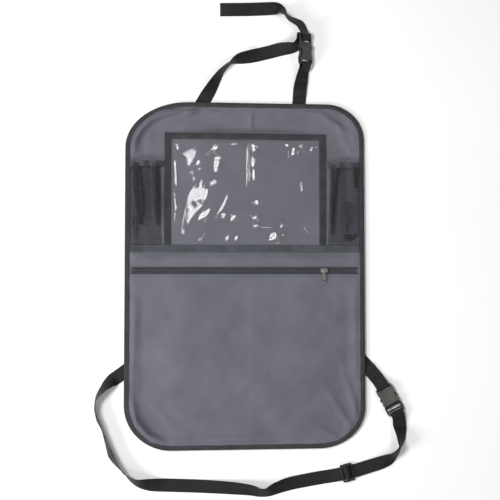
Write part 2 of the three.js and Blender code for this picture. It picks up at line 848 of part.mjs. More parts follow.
// Fittings on the table: the head buckle leans on its edge, the waist buckle lies flat
const headRoll = 50;
const lean = THREE.MathUtils.degToRad(headRoll);
const headRise = (buckleWidth / 2) * Math.sin(lean) + (buckleThickness / 2) * Math.cos(lean) + 0.5;
const headFrame = fittingFrame(right - 111.9, head + 107.5, headRise, 0, headRoll);
const waistFrame = fittingFrame(right + 51.2, foot + 86.6, buckleThickness / 2, 208.6);
const adjusterRise = plyStep + webbingThickness + gap + adjusterThickness / 2;
const adjusterPlace = fittingFrame(right - 32.4, foot - 43, adjusterRise, -75.4);

const socketBar = barWidth / 2 - socketLength;
const nearBar = frameLength - 1.5 * barWidth - barSlot;
const endBar = frameLength - barWidth / 2;

// The bar turns are given as y and z in the fitting's frame
const roundSocketBar = roundBar(socketBar, 0, turnRadius, -90, 90, 6);
const roundNearBar = roundBar(nearBar, 0, turnRadius, 270, 90, 6);
const overEndBar = [...roundBar(endBar, 0, turnRadius + gap, 90, -20, 5), [endBar + 8, -4]];
const roundEndBar = roundBar(endBar, 0, turnRadius, 90, 270, 6);

// Left head strap: from under the panel, twisted at the neck, round the plug's bars, and a loose tail.
function headStrapLeft() {
  const root = onTable([
    [-84.5, head - 8.5, 0],
    [-75, head + 7.5, 0],
    [-64, head + 25, 28],
    [-53, head + 43.5, 50],
    [-40, head + 62.5, 74],
    [-27, head + 74, 84],
    [-8, head + 83, 40],
    [10, head + 87, 18],
    [29, head + 91.5, 0],
    [48, head + 96, 0],
    [66, head + 100.5, 10],
    [82, head + 102.5, 30],
    [right - 134, head + 103.5, 45],
    [right - 126.5, head + 107.5, 50],
    [right - 122.5, head + 113, 50],
  ]);
  const toBar = [[14.5, -10.1], ...roundBar(21, -8.2, 1.9, -90, 90, 4)];
  const turn = inFitting(headFrame, [...toBar, ...roundNearBar, ...overEndBar], -1);
  const tail = onTable([
    [right - 117, head + 140, 50],
    [right - 120.5, head + 146.5, 51],
    [right - 128, head + 151.5, 55],
    [86, head + 157, 62],
    [77, head + 165.5, 75],
    [70, head + 173.5, 50],
    [56, head + 177.5, 12],
    [36, head + 177, 0],
    [5, head + 176, 0],
    [-46, head + 175.5, 0],
  ]);
  return webbing([...root, ...turn, ...tail]);
}

// Right head strap: up from the panel, round the socket's bar, and its end sewn back on itself.
function headStrapRight() {
  const route = onTable([
    [right - 124.5, head - 17.5, 0],
    [right - 122.9, head + 4.5, 0],
    [right - 121.5, head + 26.5, 8],
    [right - 118.5, head + 44.5, 26],
    [right - 116, head + 58.5, 42],
  ]);
  const turn = inFitting(headFrame, [[-41, -3.9], ...roundSocketBar, [-41, 3.2]], -1);
  const back = foldedBack(route.slice(-4), plyStep);
  return webbing([...route, ...turn, ...back]);
}

// The long strap: from the panel's left edge round the foot to the adjuster and the plug, and back.
function waistStrapLeft() {
  const long = onTable([
    [left + 11.5, foot + 155, 0],
    [left - 2.5, foot + 144.5, 0],
    [left - 16.5, foot + 134.5, 0],
    [left - 26.5, foot + 128, 30],
    [left - 38.5, foot + 116.5, 58],
    [left - 53.5, foot + 94.5, 84],
    [left - 55, foot + 74.5, 86],
    [left - 49.5, foot + 55.5, 74],
    [left - 41.5, foot + 36.5, 84],
    [left - 32.5, foot + 10.5, 72],
    [left - 24.5, foot - 11.5, 60],
    [left - 15.5, foot - 26.5, 72],
    [left - 0.5, foot - 43.5, 86],
    [left + 19.5, foot - 59.5, 60],
    [left + 47.5, foot - 66, 18],
    [left + 75.5, foot - 67, 0],
    [-84, foot - 69, 0],
    [-20, foot - 72.5, 14],
    [10, foot - 75.5, 30],
    [30, foot - 80, 46],
    [42, foot - 79.5, 46],
    [60, foot - 72, 24],
    [85, foot - 64, 6],
    [right - 95.5, foot - 55, 0],
    [right - 59.5, foot - 49, 0],
  ]);
  const under = plyStep - adjusterRise + webbingThickness / 2;
  const half = adjusterLength / 2;
  const crest = adjusterTurn + plyStep;
  const through = inFitting(adjusterPlace, [
    [-half - 1, under],
    [-half + barWidth + 0.6, under],
    [-2.6, crest],
    [2.6, crest],
    [half - barWidth - 0.6, under],
    [half + 1, under],
  ], -1);
  const loop = onTable([
    [right - 13.5, foot - 38.5, 0],
    [right + 0.5, foot - 34, 0],
    [right + 24.5, foot - 26.5, 6],
    [right + 42.5, foot - 19.5, 26],
    [right + 56.5, foot - 9.5, 62],
    [right + 66.5, foot + 4.5, 80],
    [right + 69, foot + 19.5, 56],
    [right + 68, foot + 34.5, 36],
    [right + 65.5, foot + 48.5, 8],
  ], plyStep);
  const turn = inFitting(waistFrame, [[25, 2.8], ...roundEndBar, [25, -3.4]], 1);
  const back = foldedBack(loop, -plyStep);
  const sewn = inFitting(adjusterPlace, [
    [half + 1, webbingThickness / 2 - adjusterRise],
    ...roundBar(0, 0, adjusterTurn, 270, 90, 6),
  ], -1);
  return webbing([...long, ...through, ...loop, ...turn, ...back, ...sewn]);
}

// Right waist strap: a short strap round the socket's bar, its end sewn back on itself.
function waistStrapRight() {
  const route = onTable([
    [right - 8.5, foot + 170.5, 0],
    [right + 2, foot + 159, 0],
    [right + 15.5, foot + 143.5, 0],
    [right + 25.5, foot + 131.5, 0],
  ]);
  const turn = inFitting(waistFrame, roundSocketBar, -1);
  const back = foldedBack(route.slice(-3), plyStep);
  return webbing([...route, ...turn, ...back]);
}

// Heights of the slider's parts
const coilLow = zipTapeHeight - gap;
const coilTop = coilLow + coilHeight;
const sliderFoot = coilLow - gap - sliderPlate;
const sliderTop = coilTop + gap + sliderPlate;
const bridgeZ = sliderTop + bridgeRise;

// The slider: two plates joined by a post in the slit, with a bridge for the pull.
function zipSlider() {
  const half = sliderLength / 2;
  const w = sliderWidth / 2;
  const outline = [
    [-half, -w + 1],
    [-half + 1.2, -w + 0.2],
    [half - 4, -w],
    [half, -w + 1.6],
    [half, w - 1.6],
    [half - 4, w],
    [-half + 1.2, w - 0.2],
    [-half, w - 1],
  ];
  const flangeIn = coilSlit / 2 + coilWidth + gap / 2 + 0.2;
  const post = coilSlit / 2 - gap;
  const legs = [-half + 1.6, half - 3];
  let body = plate(outline, sliderTop - sliderPlate, sliderTop, 0.2)
    .add(plate(outline, sliderFoot, sliderFoot + sliderPlate, 0.2))
    .add(block(half - 4, half - 1, -post, post, sliderFoot + 0.2, sliderTop - 0.2));
  for (const side of [-1, 1]) {
    const [a, b] = [side * flangeIn, side * (w - 0.2)].sort((p, q) => p - q);
    body = body.add(block(-half + 1.4, half - 4, a, b, zipSeat, sliderTop - 0.2));
  }
  for (const x of legs) {
    body = body.add(block(x, x + 1.4, -1.1, 1.1, sliderTop - 0.2, bridgeZ + bridgeRadius));
  }
  const bar = new THREE.CylinderGeometry(bridgeRadius, bridgeRadius, legs[1] - legs[0] + 0.6, 10);
  bar.rotateZ(Math.PI / 2);
  bar.translate((legs[0] + legs[1] + 1.4) / 2, 0, bridgeZ);
  return body.add(toSolid(bar));
}

// The pull: an eye round the bridge, a stem, and a tab with a slot and a rounded end.
function zipPull() {
  const eye = new THREE.CylinderGeometry(pullEyeRadius, pullEyeRadius, pullEyeWidth, 16);
  const bore = new THREE.CylinderGeometry(
    bridgeRadius + gap, bridgeRadius + gap, pullEyeWidth + 2, 16,
  );
  eye.rotateZ(Math.PI / 2);
  bore.rotateZ(Math.PI / 2);
  const w = pullWidth / 2;
  const t = pullThickness / 2;
  const tab = mirrored([
    [w * 0.5, -pullLength],
    [w * 0.85, -pullLength + 1],
    [w, -pullLength + 3],
    [w * 0.8, -7],
    [w * 0.52, -5],
    [w * 0.52, -1.5],
  ]);
  const slot = mirrored([
    [w * 0.3, -pullLength + 2],
    [w * 0.55, -pullLength + 3.4],
    [w * 0.45, -pullLength + 6.4],
  ]);
  return toSolid(eye)
    .add(plate(tab, -t, t, 0.25))
    .subtract(plate(slot, -t - 1, t + 1))
    .subtract(toSolid(bore));
}

const clothFinish = finish(colours.cloth);
const bindingFinish = finish(colours.binding);
const webbingFinish = finish(colours.webbing, 0.7);
const meshFinish = finish(colours.mesh);
const filmFinish = finish(colours.film, 0.12);
const plasticFinish = finish(colours.plastic, 0.4);
const greyPlasticFinish = finish(colours.plasticGrey, 0.35);
const metalFinish = finish(colours.metal, 0.3, 1);

add("back_panel", backPanel(), clothFinish);
add("edge_binding", edgeBinding(), bindingFinish);
add("pocket_panel", pocketPanel(), clothFinish);
add("facing_strip", facingStrip(), clothFinish);
add("cross_binding", crossBinding(), bindingFinish);
add("window_film", windowFilm(), filmFinish);
add("window_binding_top", windowBindingTop(), bindingFinish);
add("window_binding_left", windowBindingSide(windowLeft), bindingFinish);
add("window_binding_right", windowBindingSide(windowRight - windowBindingWidth), bindingFinish);
for (const [name, side] of [["left", -1], ["right", 1]]) {
  add(`mesh_pocket_${name}`, meshPocket(side), meshFinish);
  add(`mesh_elastic_${name}`, meshElastic(side), finish(colours.elastic));
}
for (const [name, side] of [["upper", 1], ["lower", -1]]) {
  add(`zip_tape_${name}`, zipTape(side), bindingFinish);
  add(`zip_coil_${name}`, zipCoil(side), plasticFinish);
}

// The slider's own group follows the zip; the pull's group turns on the bridge
const zipPlace = taper(sliderX, zipY);
const slider = new THREE.Group();
slider.position.set(zipPlace[0], zipPlace[1], 0);
organizer.add(slider);
add("zip_slider", toGeometry(zipSlider()), metalFinish, slider);
const pull = new THREE.Group();
pull.position.set(0, 0, bridgeZ);
pull.rotation.x = THREE.MathUtils.degToRad(pullTilt);
slider.add(pull);
add("zip_pull", toGeometry(zipPull()), metalFinish, pull);

add("head_strap_left", headStrapLeft(), webbingFinish);
add("head_strap_right", headStrapRight(), webbingFinish);
add("waist_strap_left", waistStrapLeft(), webbingFinish);
add("waist_strap_right", waistStrapRight(), webbingFinish);
addFitting("head_buckle_socket", buckleSocket(), headFrame, plasticFinish);
addFitting("head_buckle_plug", bucklePlug(), headFrame, plasticFinish);
addFitting("waist_buckle_socket", buckleSocket(), waistFrame, greyPlasticFinish);
addFitting("waist_buckle_plug", bucklePlug(), waistFrame, plasticFinish);
addFitting("strap_adjuster", adjusterFrame(), adjusterPlace, plasticFinish);

export default organizer;
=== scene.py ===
"""Looks of the car seat back organizer, laid face up on a pale table.

Sizes are in millimetres in the shape functions, and a piece becomes metres when its mesh is made.
"""

import math

import bmesh
import bpy
import numpy as np
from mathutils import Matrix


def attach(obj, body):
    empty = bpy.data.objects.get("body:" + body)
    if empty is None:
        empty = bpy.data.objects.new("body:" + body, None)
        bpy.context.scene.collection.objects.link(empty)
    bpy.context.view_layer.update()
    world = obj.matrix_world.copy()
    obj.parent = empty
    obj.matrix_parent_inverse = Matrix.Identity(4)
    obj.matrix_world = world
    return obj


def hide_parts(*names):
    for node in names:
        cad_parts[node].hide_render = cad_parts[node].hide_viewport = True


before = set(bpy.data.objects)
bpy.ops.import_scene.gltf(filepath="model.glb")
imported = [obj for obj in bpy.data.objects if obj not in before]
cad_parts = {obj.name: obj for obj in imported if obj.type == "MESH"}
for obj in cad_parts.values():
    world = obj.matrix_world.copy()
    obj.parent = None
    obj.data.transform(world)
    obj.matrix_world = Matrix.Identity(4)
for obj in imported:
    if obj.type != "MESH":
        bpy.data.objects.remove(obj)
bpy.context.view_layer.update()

MM = 0.001
GAP = 0.3

# The panel, its corners and the way the hand-cut sheet narrows upwards and to the right
PANEL_WIDTH = 451
PANEL_HEIGHT = 651
SIDE_TAPER = 0.018
END_TAPER = 0.023
PANEL_THICKNESS = 1.2
CORNERS = {
    "top_left": (122, 86),
    "top_right": (72, 68),
    "bottom_left": (90, 86),
    "bottom_right": (86, 78),
}
EDGE_LIFT_FLAT = 16
EDGE_LIFT_FALL = 18
FOLD_X = 12

BINDING_WIDTH = 9
BINDING_THICKNESS = 0.6
SHEET_INSET = 1.4

WINDOW_LEFT = -151
WINDOW_RIGHT = 152.5
WINDOW_TOP = 268
WINDOW_BINDING_WIDTH = 11.5
FILM_THICKNESS = 0.5
FILM_RISE = 0.9
FILM_PUFF = 8.5
FILM_MOUTH = 6.5
# Drawn flatter than the solid's ripple, so that the creases shine where the photograph shows them
FILM_RIPPLE = 0.12
FILM_RIPPLE_LENGTH = 46

SHOULDER_START = 168

MESH_TOP = 214
MESH_THICKNESS = 0.9
MESH_PUFF = 11
MESH_PUFF_REACH = 34
MESH_PLEATS = 2.5
MESH_PLEAT_DEPTH = 2.1
ELASTIC_WIDTH = 9
ELASTIC_THICKNESS = 1.1

CROSS_Y = 51.7
CROSS_WIDTH = 13.6

ZIP_Y = 10.9
ZIP_BAND = 13.8
ZIP_TAPE_HEIGHT = 4.1
ZIP_TAPE_THICKNESS = 0.5
ZIP_TAPE_OVERLAP = 5
TAPE_END_INSET = 12.5
COIL_SLIT = 1.4
COIL_WIDTH = 2.7
COIL_HEIGHT = 1.6
COIL_PITCH = 1.7
COIL_WIRE = 0.42
COIL_SQUARENESS = 0.6

CLOTH_THICKNESS = 0.8
POCKET_PUFF = 6.5
POCKET_REACH = 110

WEBBING_WIDTH = 25
WEBBING_THICKNESS = 1.4
PLY_STEP = WEBBING_THICKNESS + GAP

BUCKLE_WIDTH = 34
BUCKLE_THICKNESS = 9.5
SOCKET_LENGTH = 36
FRAME_LENGTH = 20.5
BAR_WIDTH = 3
BAR_SLOT = 4.5
TURN_RADIUS = 3.5
ADJUSTER_LENGTH = 23
ADJUSTER_THICKNESS = 2
ADJUSTER_TURN = 2.8

# Heights that follow from the stack of layers
BINDING_FOOT = WEBBING_THICKNESS + GAP
EDGE_LIFT = BINDING_FOOT + BINDING_THICKNESS + GAP
PANEL_EDGE_TOP = EDGE_LIFT + PANEL_THICKNESS
ZIP_TAPE_TOP = ZIP_TAPE_HEIGHT + ZIP_TAPE_THICKNESS
ZIP_SEAT = ZIP_TAPE_TOP + GAP
MESH_FOOT = CROSS_Y + 1
POCKET_TOP_Y = ZIP_Y - ZIP_BAND / 2
FACING_FOOT_Y = ZIP_Y + ZIP_BAND / 2


# Shape of the panel


def ramp(value):
    """The value held between 0 and 1."""
    return np.clip(value, 0, 1)


def swell(value):
    """Rises smoothly from 0 to 1."""
    t = ramp(value)
    return t * t * (3 - 2 * t)


def mix(a, b, t):
    return a + (b - a) * t


def taper(x, y):
    """The nominal rectangle becomes the tapered panel: x narrows with y and y with x."""
    return x * (1 - SIDE_TAPER * y / PANEL_HEIGHT), y * (1 - END_TAPER * x / PANEL_WIDTH)


def corner_cut(y, inset, top, bottom):
    """How far an elliptical corner cuts into the row at y: across times one less the root of one less
    depth squared."""
    half = PANEL_HEIGHT / 2 - inset
    above = ramp((y - half + top[1] - inset) / (top[1] - inset))
    below = ramp((bottom[1] - inset - half - y) / (bottom[1] - inset))
    cut_above = (top[0] - inset) * (1 - np.sqrt(1 - above**2))
    cut_below = (bottom[0] - inset) * (1 - np.sqrt(1 - below**2))
    return cut_above + cut_below


def left_edge(y, inset=0):
    return -PANEL_WIDTH / 2 + inset + corner_cut(y, inset, CORNERS["top_left"], CORNERS["bottom_left"])


def right_edge(y, inset=0):
    return PANEL_WIDTH / 2 - inset - corner_cut(y, inset, CORNERS["top_right"], CORNERS["bottom_right"])


def edge_distance(x, y):
    """Distance from the panel's edge along the row or the column, whichever is less."""
    half = PANEL_HEIGHT / 2
    return np.minimum(np.minimum(x - left_edge(y), right_edge(y) - x), np.minimum(half - y, y + half))


def bump(x, y, x0, y0, long, short, turn=0.0):
    """A soft hill of height 1 at x0, y0: e to the minus squared distance, in lengths of long and short."""
    a = math.radians(turn)
    u = (x - x0) * math.cos(a) + (y - y0) * math.sin(a)
    v = (y - y0) * math.cos(a) - (x - x0) * math.sin(a)
    return np.exp(-((u / long) ** 2) - (v / short) ** 2)


def panel_top(x, y):
    """Flat on the table inside, lifted onto the binding round the edge."""
    lifted = ramp((EDGE_LIFT_FLAT + EDGE_LIFT_FALL - edge_distance(x, y)) / EDGE_LIFT_FALL)
    return PANEL_THICKNESS + EDGE_LIFT * lifted


def row_ends(y, inset=SHEET_INSET):
    return left_edge(y, inset), right_edge(y, inset)


def panel_grid(bottom, top, rows, columns):
    """x and y over the panel between two heights, each row running from edge to edge."""
    y = np.linspace(bottom, top, rows)
    left, right = row_ends(y)
    u = np.linspace(0, 1, columns)
    x = left[:, None] + (right - left)[:, None] * u[None, :]
    return x, np.repeat(y[:, None], columns, axis=1)


def tapered(x, y, z):
    """Points of the tapered panel from nominal x and y and a height."""
    px, py = taper(x, y)
    return np.stack([px, py, np.broadcast_to(z, px.shape)], axis=-1)


# Making meshes


def mesh_object(name, points, faces, finish, uv=None, sharp=50):
    """A mesh object from points in millimetres and a list of face arrays, its faces turned outwards.
    The sign of the summed tetrahedra on the origin tells whether the shape is inside out."""
    volume = 0
    for block in faces:
        for k in range(1, block.shape[1] - 1):
            a, b, c = points[block[:, 0]], points[block[:, k]], points[block[:, k + 1]]
            volume += np.einsum("ij,ij->", a, np.cross(b, c))
    if volume < 0:
        faces = [block[:, ::-1] for block in faces]
    corners = np.concatenate([block.ravel() for block in faces])
    sizes = np.concatenate([np.full(len(block), block.shape[1]) for block in faces])
    mesh = bpy.data.meshes.new(name)
    mesh.vertices.add(len(points))
    mesh.vertices.foreach_set("co", (points * MM).astype(np.float32).ravel())
    mesh.loops.add(len(corners))
    mesh.loops.foreach_set("vertex_index", corners.astype(np.int32))
    mesh.polygons.add(len(sizes))
    mesh.polygons.foreach_set("loop_start", (np.cumsum(sizes) - sizes).astype(np.int32))
    mesh.polygons.foreach_set("use_smooth", np.ones(len(sizes), bool))
    if uv is not None:
        layer = mesh.uv_layers.new(name="cut")
        layer.data.foreach_set("uv", uv[corners].astype(np.float32).ravel())
    mesh.update(calc_edges=True)
    mesh.validate()
    mesh.set_sharp_from_angle(angle=math.radians(sharp))
    mesh.materials.append(finish)
    piece = bpy.data.objects.new(name, mesh)
    bpy.context.scene.collection.objects.link(piece)
    return piece


def settle(piece, slot, *nodes, body="organizer"):
    """The piece rides on its body and stands for its CAD nodes. Its slot is not used."""
    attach(piece, body)
    if nodes:
        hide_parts(*nodes)
    return piece


def closed_sheet(top, thickness, open_cells=None):
    """Points and faces of a sheet: a grid of top points, the same grid lowered by the thickness,
    and a wall wherever a cell has no neighbour. Open cells are left out."""
    rows, columns = top.shape[:2]
    low = top - np.array([0, 0, thickness])
    points = np.concatenate([top.reshape(-1, 3), low.reshape(-1, 3)])
    at = np.arange(rows * columns).reshape(rows, columns)
    a, b, c, d = at[:-1, :-1], at[:-1, 1:], at[1:, 1:], at[1:, :-1]
    solid = np.ones(a.shape, bool) if open_cells is None else ~open_cells
    layer = rows * columns
    around = np.pad(solid, 1)
    faces = [
        np.stack([a, b, c, d], -1)[solid],
        np.stack([a, d, c, b], -1)[solid] + layer,
    ]
    sides = (
        (around[:-2, 1:-1], a, b),
        (around[1:-1, 2:], b, c),
        (around[2:, 1:-1], c, d),
        (around[1:-1, :-2], d, a),
    )
    for neighbour, p, q in sides:
        faces.append(np.stack([p, p + layer, q + layer, q], -1)[solid & ~neighbour])
    return points, [np.concatenate(faces)]


def sheet_uv(top):
    """The cut sheet's own coordinates: x and y of its points, in metres, for both layers."""
    flat = top[:, :, :2].reshape(-1, 2) * MM
    return np.concatenate([flat, flat])


def laid_sheet(name, top, thickness, finish, slot, node, uv=None):
    """A sheet over a grid of top points, which stands for its CAD node. Its slot is not used."""
    points, faces = closed_sheet(top, thickness)
    piece = mesh_object(name, points, faces, finish, sheet_uv(top) if uv is None else uv)
    return settle(piece, slot, node)


def skin(sections, closed=False):
    """Points and faces over a row of equal closed sections, ended by flat caps unless it closes on itself.
    One more dimension in front makes many such tubes."""
    tubes = sections.reshape(-1, *sections.shape[-3:])
    count, around = tubes.shape[1:3]
    at = np.arange(count * around).reshape(count, around)
    ahead = np.roll(at, -1, axis=0)
    caps = [] if closed else [np.stack([at[0, ::-1], at[-1]])]
    if not closed:
        at, ahead = at[:-1], ahead[:-1]
    sides = np.stack([at, np.roll(at, -1, axis=1), np.roll(ahead, -1, axis=1), ahead], -1)
    base = np.arange(len(tubes))[:, None, None] * count * around
    faces = [(block + base).reshape(-1, block.shape[-1]) for block in (sides.reshape(-1, 4), *caps)]
    return sections.reshape(-1, 3), faces


def lengths_along(path):
    """Distance travelled at each point of a path."""
    steps = np.linalg.norm(np.diff(path, axis=0), axis=1)
    return np.concatenate([[0], np.cumsum(steps)])


def at_lengths(path, where):
    """Points of a path at the given distances along it."""
    travelled = lengths_along(path)
    return np.stack([np.interp(where, travelled, path[:, k]) for k in range(path.shape[1])], -1)


def unit(v):
    return v / np.maximum(np.linalg.norm(v, axis=-1, keepdims=True), 1e-9)


def stitch_row(path, up, length=3.0, pitch=4.0, radius=0.28, rise=0.25):
    """Points and faces of thread stitches along a path. Each stitch is a short tube, highest in
    its middle: centre + t times half its length ahead + rise times (1 - t squared) upwards."""
    total = lengths_along(path)[-1]
    count = max(1, int(total / pitch))
    step = total / count
    middle = (np.arange(count) + 0.5) * step
    near = 0.5
    centre = at_lengths(path, middle)
    ahead = unit(at_lengths(path, middle + near) - at_lengths(path, middle - near))
    lift = unit(at_lengths(np.concatenate([path, up], 1), middle)[:, 3:])
    side = unit(np.cross(ahead, lift))
    t = np.array([-1, -0.75, 0, 0.75, 1])
    thick = radius * np.array([0.35, 0.85, 1, 0.85, 0.35])
    angle = np.arange(6) * (math.pi / 3)
    spine = (
        centre[:, None, :]
        + ahead[:, None, :] * (t * length / 2)[None, :, None]
        + lift[:, None, :] * (rise * (1 - t**2) - 0.05)[None, :, None]
    )
    ring = (
        side[:, None, None, :] * (thick[:, None] * np.cos(angle))[None, :, :, None]
        + lift[:, None, None, :] * (thick[:, None] * np.sin(angle))[None, :, :, None]
    )
    return skin(spine[:, :, None, :] + ring)


def together(parts):
    """Several point and face sets as one, with the face numbers moved on."""
    points, faces, base = [], [], 0
    for p, f in parts:
        points.append(p)
        faces.extend(block + base for block in f)
        base += len(p)
    return np.concatenate(points), faces


def sewn(name, slot, paths, length=2.9, pitch=3.9, radius=0.28, rise=0.22):
    """Rows of stitches on the upper side of the paths, as one piece."""
    rows = []
    for path in paths:
        up = np.tile([0.0, 0.0, 1.0], (len(path), 1))
        rows.append(stitch_row(path, up, length, pitch, radius, rise))
    settle(mesh_object(name, *together(rows), DARK_THREAD), slot)


# Materials


def linear(colour, alpha=1.0):
    """An sRGB hex colour as linear light."""
    channels = [int(colour[k : k + 2], 16) / 255 for k in (1, 3, 5)]
    light = [c / 12.92 if c <= 0.04045 else ((c + 0.055) / 1.055) ** 2.4 for c in channels]
    return (*light, alpha)


def add_node(tree, kind, sockets=None, **settings):
    """Adds a node with its settings. A socket gets a value, or a link where an output is given."""
    node = tree.nodes.new(kind)
    for name, value in settings.items():
        setattr(node, name, value)
    for key, value in (sockets or {}).items():
        if isinstance(value, bpy.types.NodeSocket):
            tree.links.new(value, node.inputs[key])
        else:
            node.inputs[key].default_value = value
    return node


def new_finish(name, colour, roughness, **constants):
    """A material with one shader, whose constants are set on its own sockets."""
    finish = bpy.data.materials.new(name)
    finish.use_nodes = True
    tree = finish.node_tree
    tree.nodes.clear()
    sockets = {"Base Color": linear(colour), "Roughness": roughness}
    sockets.update({key.replace("_", " "): value for key, value in constants.items()})
    shader = add_node(tree, "ShaderNodeBsdfPrincipled", sockets)
    add_node(tree, "ShaderNodeOutputMaterial", {"Surface": shader.outputs[0]})
    return finish, tree, shader


def place_of(tree, own_cut=False):
    """Where a pattern is read: the object's own metres, or the cut sheet's across and along."""
    node = add_node(tree, "ShaderNodeTexCoord")
    return node.outputs["UV" if own_cut else "Object"]


def thread_bands(tree, place, spacing, direction, distortion=0.3):
    """Parallel threads: a sine band each spacing. The wave texture repeats every tenth of pi at scale 1."""
    sockets = {
        "Vector": place,
        "Scale": 0.1 * math.pi / spacing,
        "Distortion": distortion,
        "Detail": 1.0,
        "Detail Scale": 2.0,
    }
    node = add_node(tree, "ShaderNodeTexWave", sockets, bands_direction=direction)
    return node.outputs["Fac"]


def weave_height(tree, place, warp, weft):
    """Two crossing sets of threads, the higher of them showing."""
    across = thread_bands(tree, place, warp, "X")
    along = thread_bands(tree, place, weft, "Y")
    return add_node(tree, "ShaderNodeMath", {0: across, 1: along}, operation="MAXIMUM").outputs[0]


def clouded(tree, place, size, dark, light, detail=3.0):
    """A colour that drifts between two tones in patches of the given size."""
    noise = add_node(tree, "ShaderNodeTexNoise", {"Vector": place, "Scale": 1 / size, "Detail": detail})
    ends = {"Fac": noise.outputs["Fac"]}
    node = add_node(tree, "ShaderNodeValToRGB", ends)
    node.color_ramp.elements[0].position = 0.32
    node.color_ramp.elements[0].color = linear(dark)
    node.color_ramp.elements[1].position = 0.68
    node.color_ramp.elements[1].color = linear(light)
    return node.outputs["Color"]


def bumped(tree, shader, height, distance, strength=1.0, under=None):
    """The surface rises by distance where the height is 1."""
    sockets = {"Height": height, "Distance": distance, "Strength": strength}
    if under is not None:
        sockets["Normal"] = under
    node = add_node(tree, "ShaderNodeBump", sockets)
    tree.links.new(node.outputs["Normal"], shader.inputs["Normal"])
    return node.outputs["Normal"]


def shaded_threads(tree, colour, height, darkest):
    """Thread colour, with painted shade between the threads."""
    gap_shade = add_node(tree, "ShaderNodeMapRange", {"Value": height, "To Min": darkest, "To Max": 1.0})
    sockets = {0: 1.0, 6: colour, 7: gap_shade.outputs[0]}
    node = add_node(tree, "ShaderNodeMix", sockets, data_type="RGBA", blend_type="MULTIPLY")
    return node.outputs[2]


def threads_show(tree, shader, patches, height, darkest, relief, strength=0.8, under=None):
    """Threads seen by painted shade between them, darkened to the given share, and by their relief in metres.
    """
    tree.links.new(shaded_threads(tree, patches, height, darkest), shader.inputs["Base Color"])
    bumped(tree, shader, height, relief, strength, under)


def oxford_cloth():
    """Polyester oxford, plain woven and backed. Flat filaments give it a dull sheen.
    Its threads are 0.5 mm apart, drawn 1.4 mm apart to show."""
    finish, tree, shader = new_finish(
        "oxford_polyester", "#6a6b74", 0.62, Sheen_Weight=0.18, Sheen_Roughness=0.45, Specular_IOR_Level=0.35
    )
    place = place_of(tree)
    height = weave_height(tree, place, 0.0014, 0.0016)
    patches = clouded(tree, place, 0.06, "#5d5e67", "#696a74", 4.0)
    slubs = add_node(tree, "ShaderNodeTexNoise", {"Vector": place, "Scale": 260.0, "Detail": 2.0})
    under = bumped(tree, shader, slubs.outputs["Fac"], 0.0003, 0.4)
    threads_show(tree, shader, patches, height, 0.72, 0.00022, 0.7, under)
    return finish


def binding_tape(name, dark, light):
    """Grosgrain tape: fine ribs across it. Ribs are 0.8 mm apart, drawn 1.8 mm apart to show."""
    finish, tree, shader = new_finish(
        name, dark, 0.7, Sheen_Weight=0.12, Sheen_Roughness=0.5, Specular_IOR_Level=0.3
    )
    place = place_of(tree, True)
    height = thread_bands(tree, place, 0.0018, "Y", 0.15)
    patches = clouded(tree, place_of(tree), 0.02, dark, light)
    threads_show(tree, shader, patches, height, 0.6, 0.0002)
    return finish


def webbing_weave():
    """Polypropylene webbing of coarse crossing ribs, 1.1 mm apart and drawn about 2 mm apart to show."""
    finish, tree, shader = new_finish(
        "webbing_twill", "#121416", 0.6, Sheen_Weight=0.05, Sheen_Roughness=0.4, Specular_IOR_Level=0.3
    )
    place = place_of(tree, True)
    height = weave_height(tree, place, 0.0022, 0.002)
    patches = clouded(tree, place, 0.03, "#0f1113", "#181a1c")
    threads_show(tree, shader, patches, height, 0.5, 0.00035, 0.9)
    return finish


def knitted_mesh():
    """Warp-knitted polyester net: dull dark thread, its fibres too fine to show but for a slight fuzz."""
    finish, tree, shader = new_finish(
        "knitted_net", "#2e3034", 0.75, Sheen_Weight=0.15, Sheen_Roughness=0.5, Specular_IOR_Level=0.3
    )
    place = place_of(tree)
    patches = clouded(tree, place, 0.012, "#27292c", "#36383d")
    tree.links.new(patches, shader.inputs["Base Color"])
    fuzz = add_node(tree, "ShaderNodeTexNoise", {"Vector": place, "Scale": 1400.0, "Detail": 2.0})
    bumped(tree, shader, fuzz.outputs["Fac"], 0.0002, 0.6)
    return finish


def ribbed_elastic():
    """Knitted elastic: soft ribs along its length, lighter than the net where it is stretched."""
    finish, tree, shader = new_finish(
        "ribbed_elastic", "#4b4d52", 0.7, Sheen_Weight=0.15, Sheen_Roughness=0.5, Specular_IOR_Level=0.3
    )
    place = place_of(tree)
    height = thread_bands(tree, place, 0.0018, "Y", 0.1)
    patches = clouded(tree, place, 0.01, "#43454a", "#54565b")
    threads_show(tree, shader, patches, height, 0.55, 0.0003, 0.9)
    return finish


def vinyl_film():
    """Clear plasticised vinyl: thin, glossy and slightly hazy. Most light goes through to the panel."""
    finish, tree, shader = new_finish(
        "clear_vinyl", "#8c8d94", 0.06, IOR=1.53, Alpha=0.13, Specular_IOR_Level=0.9, Coat_Weight=0.6,
        Coat_Roughness=0.06,
    )
    place = place_of(tree)
    sockets = {"Vector": place, "Scale": 42.0, "Detail": 1.5, "Roughness": 0.4}
    ripple = add_node(tree, "ShaderNodeTexNoise", sockets)
    bumped(tree, shader, ripple.outputs["Fac"], 0.0012, 0.16)
    return finish


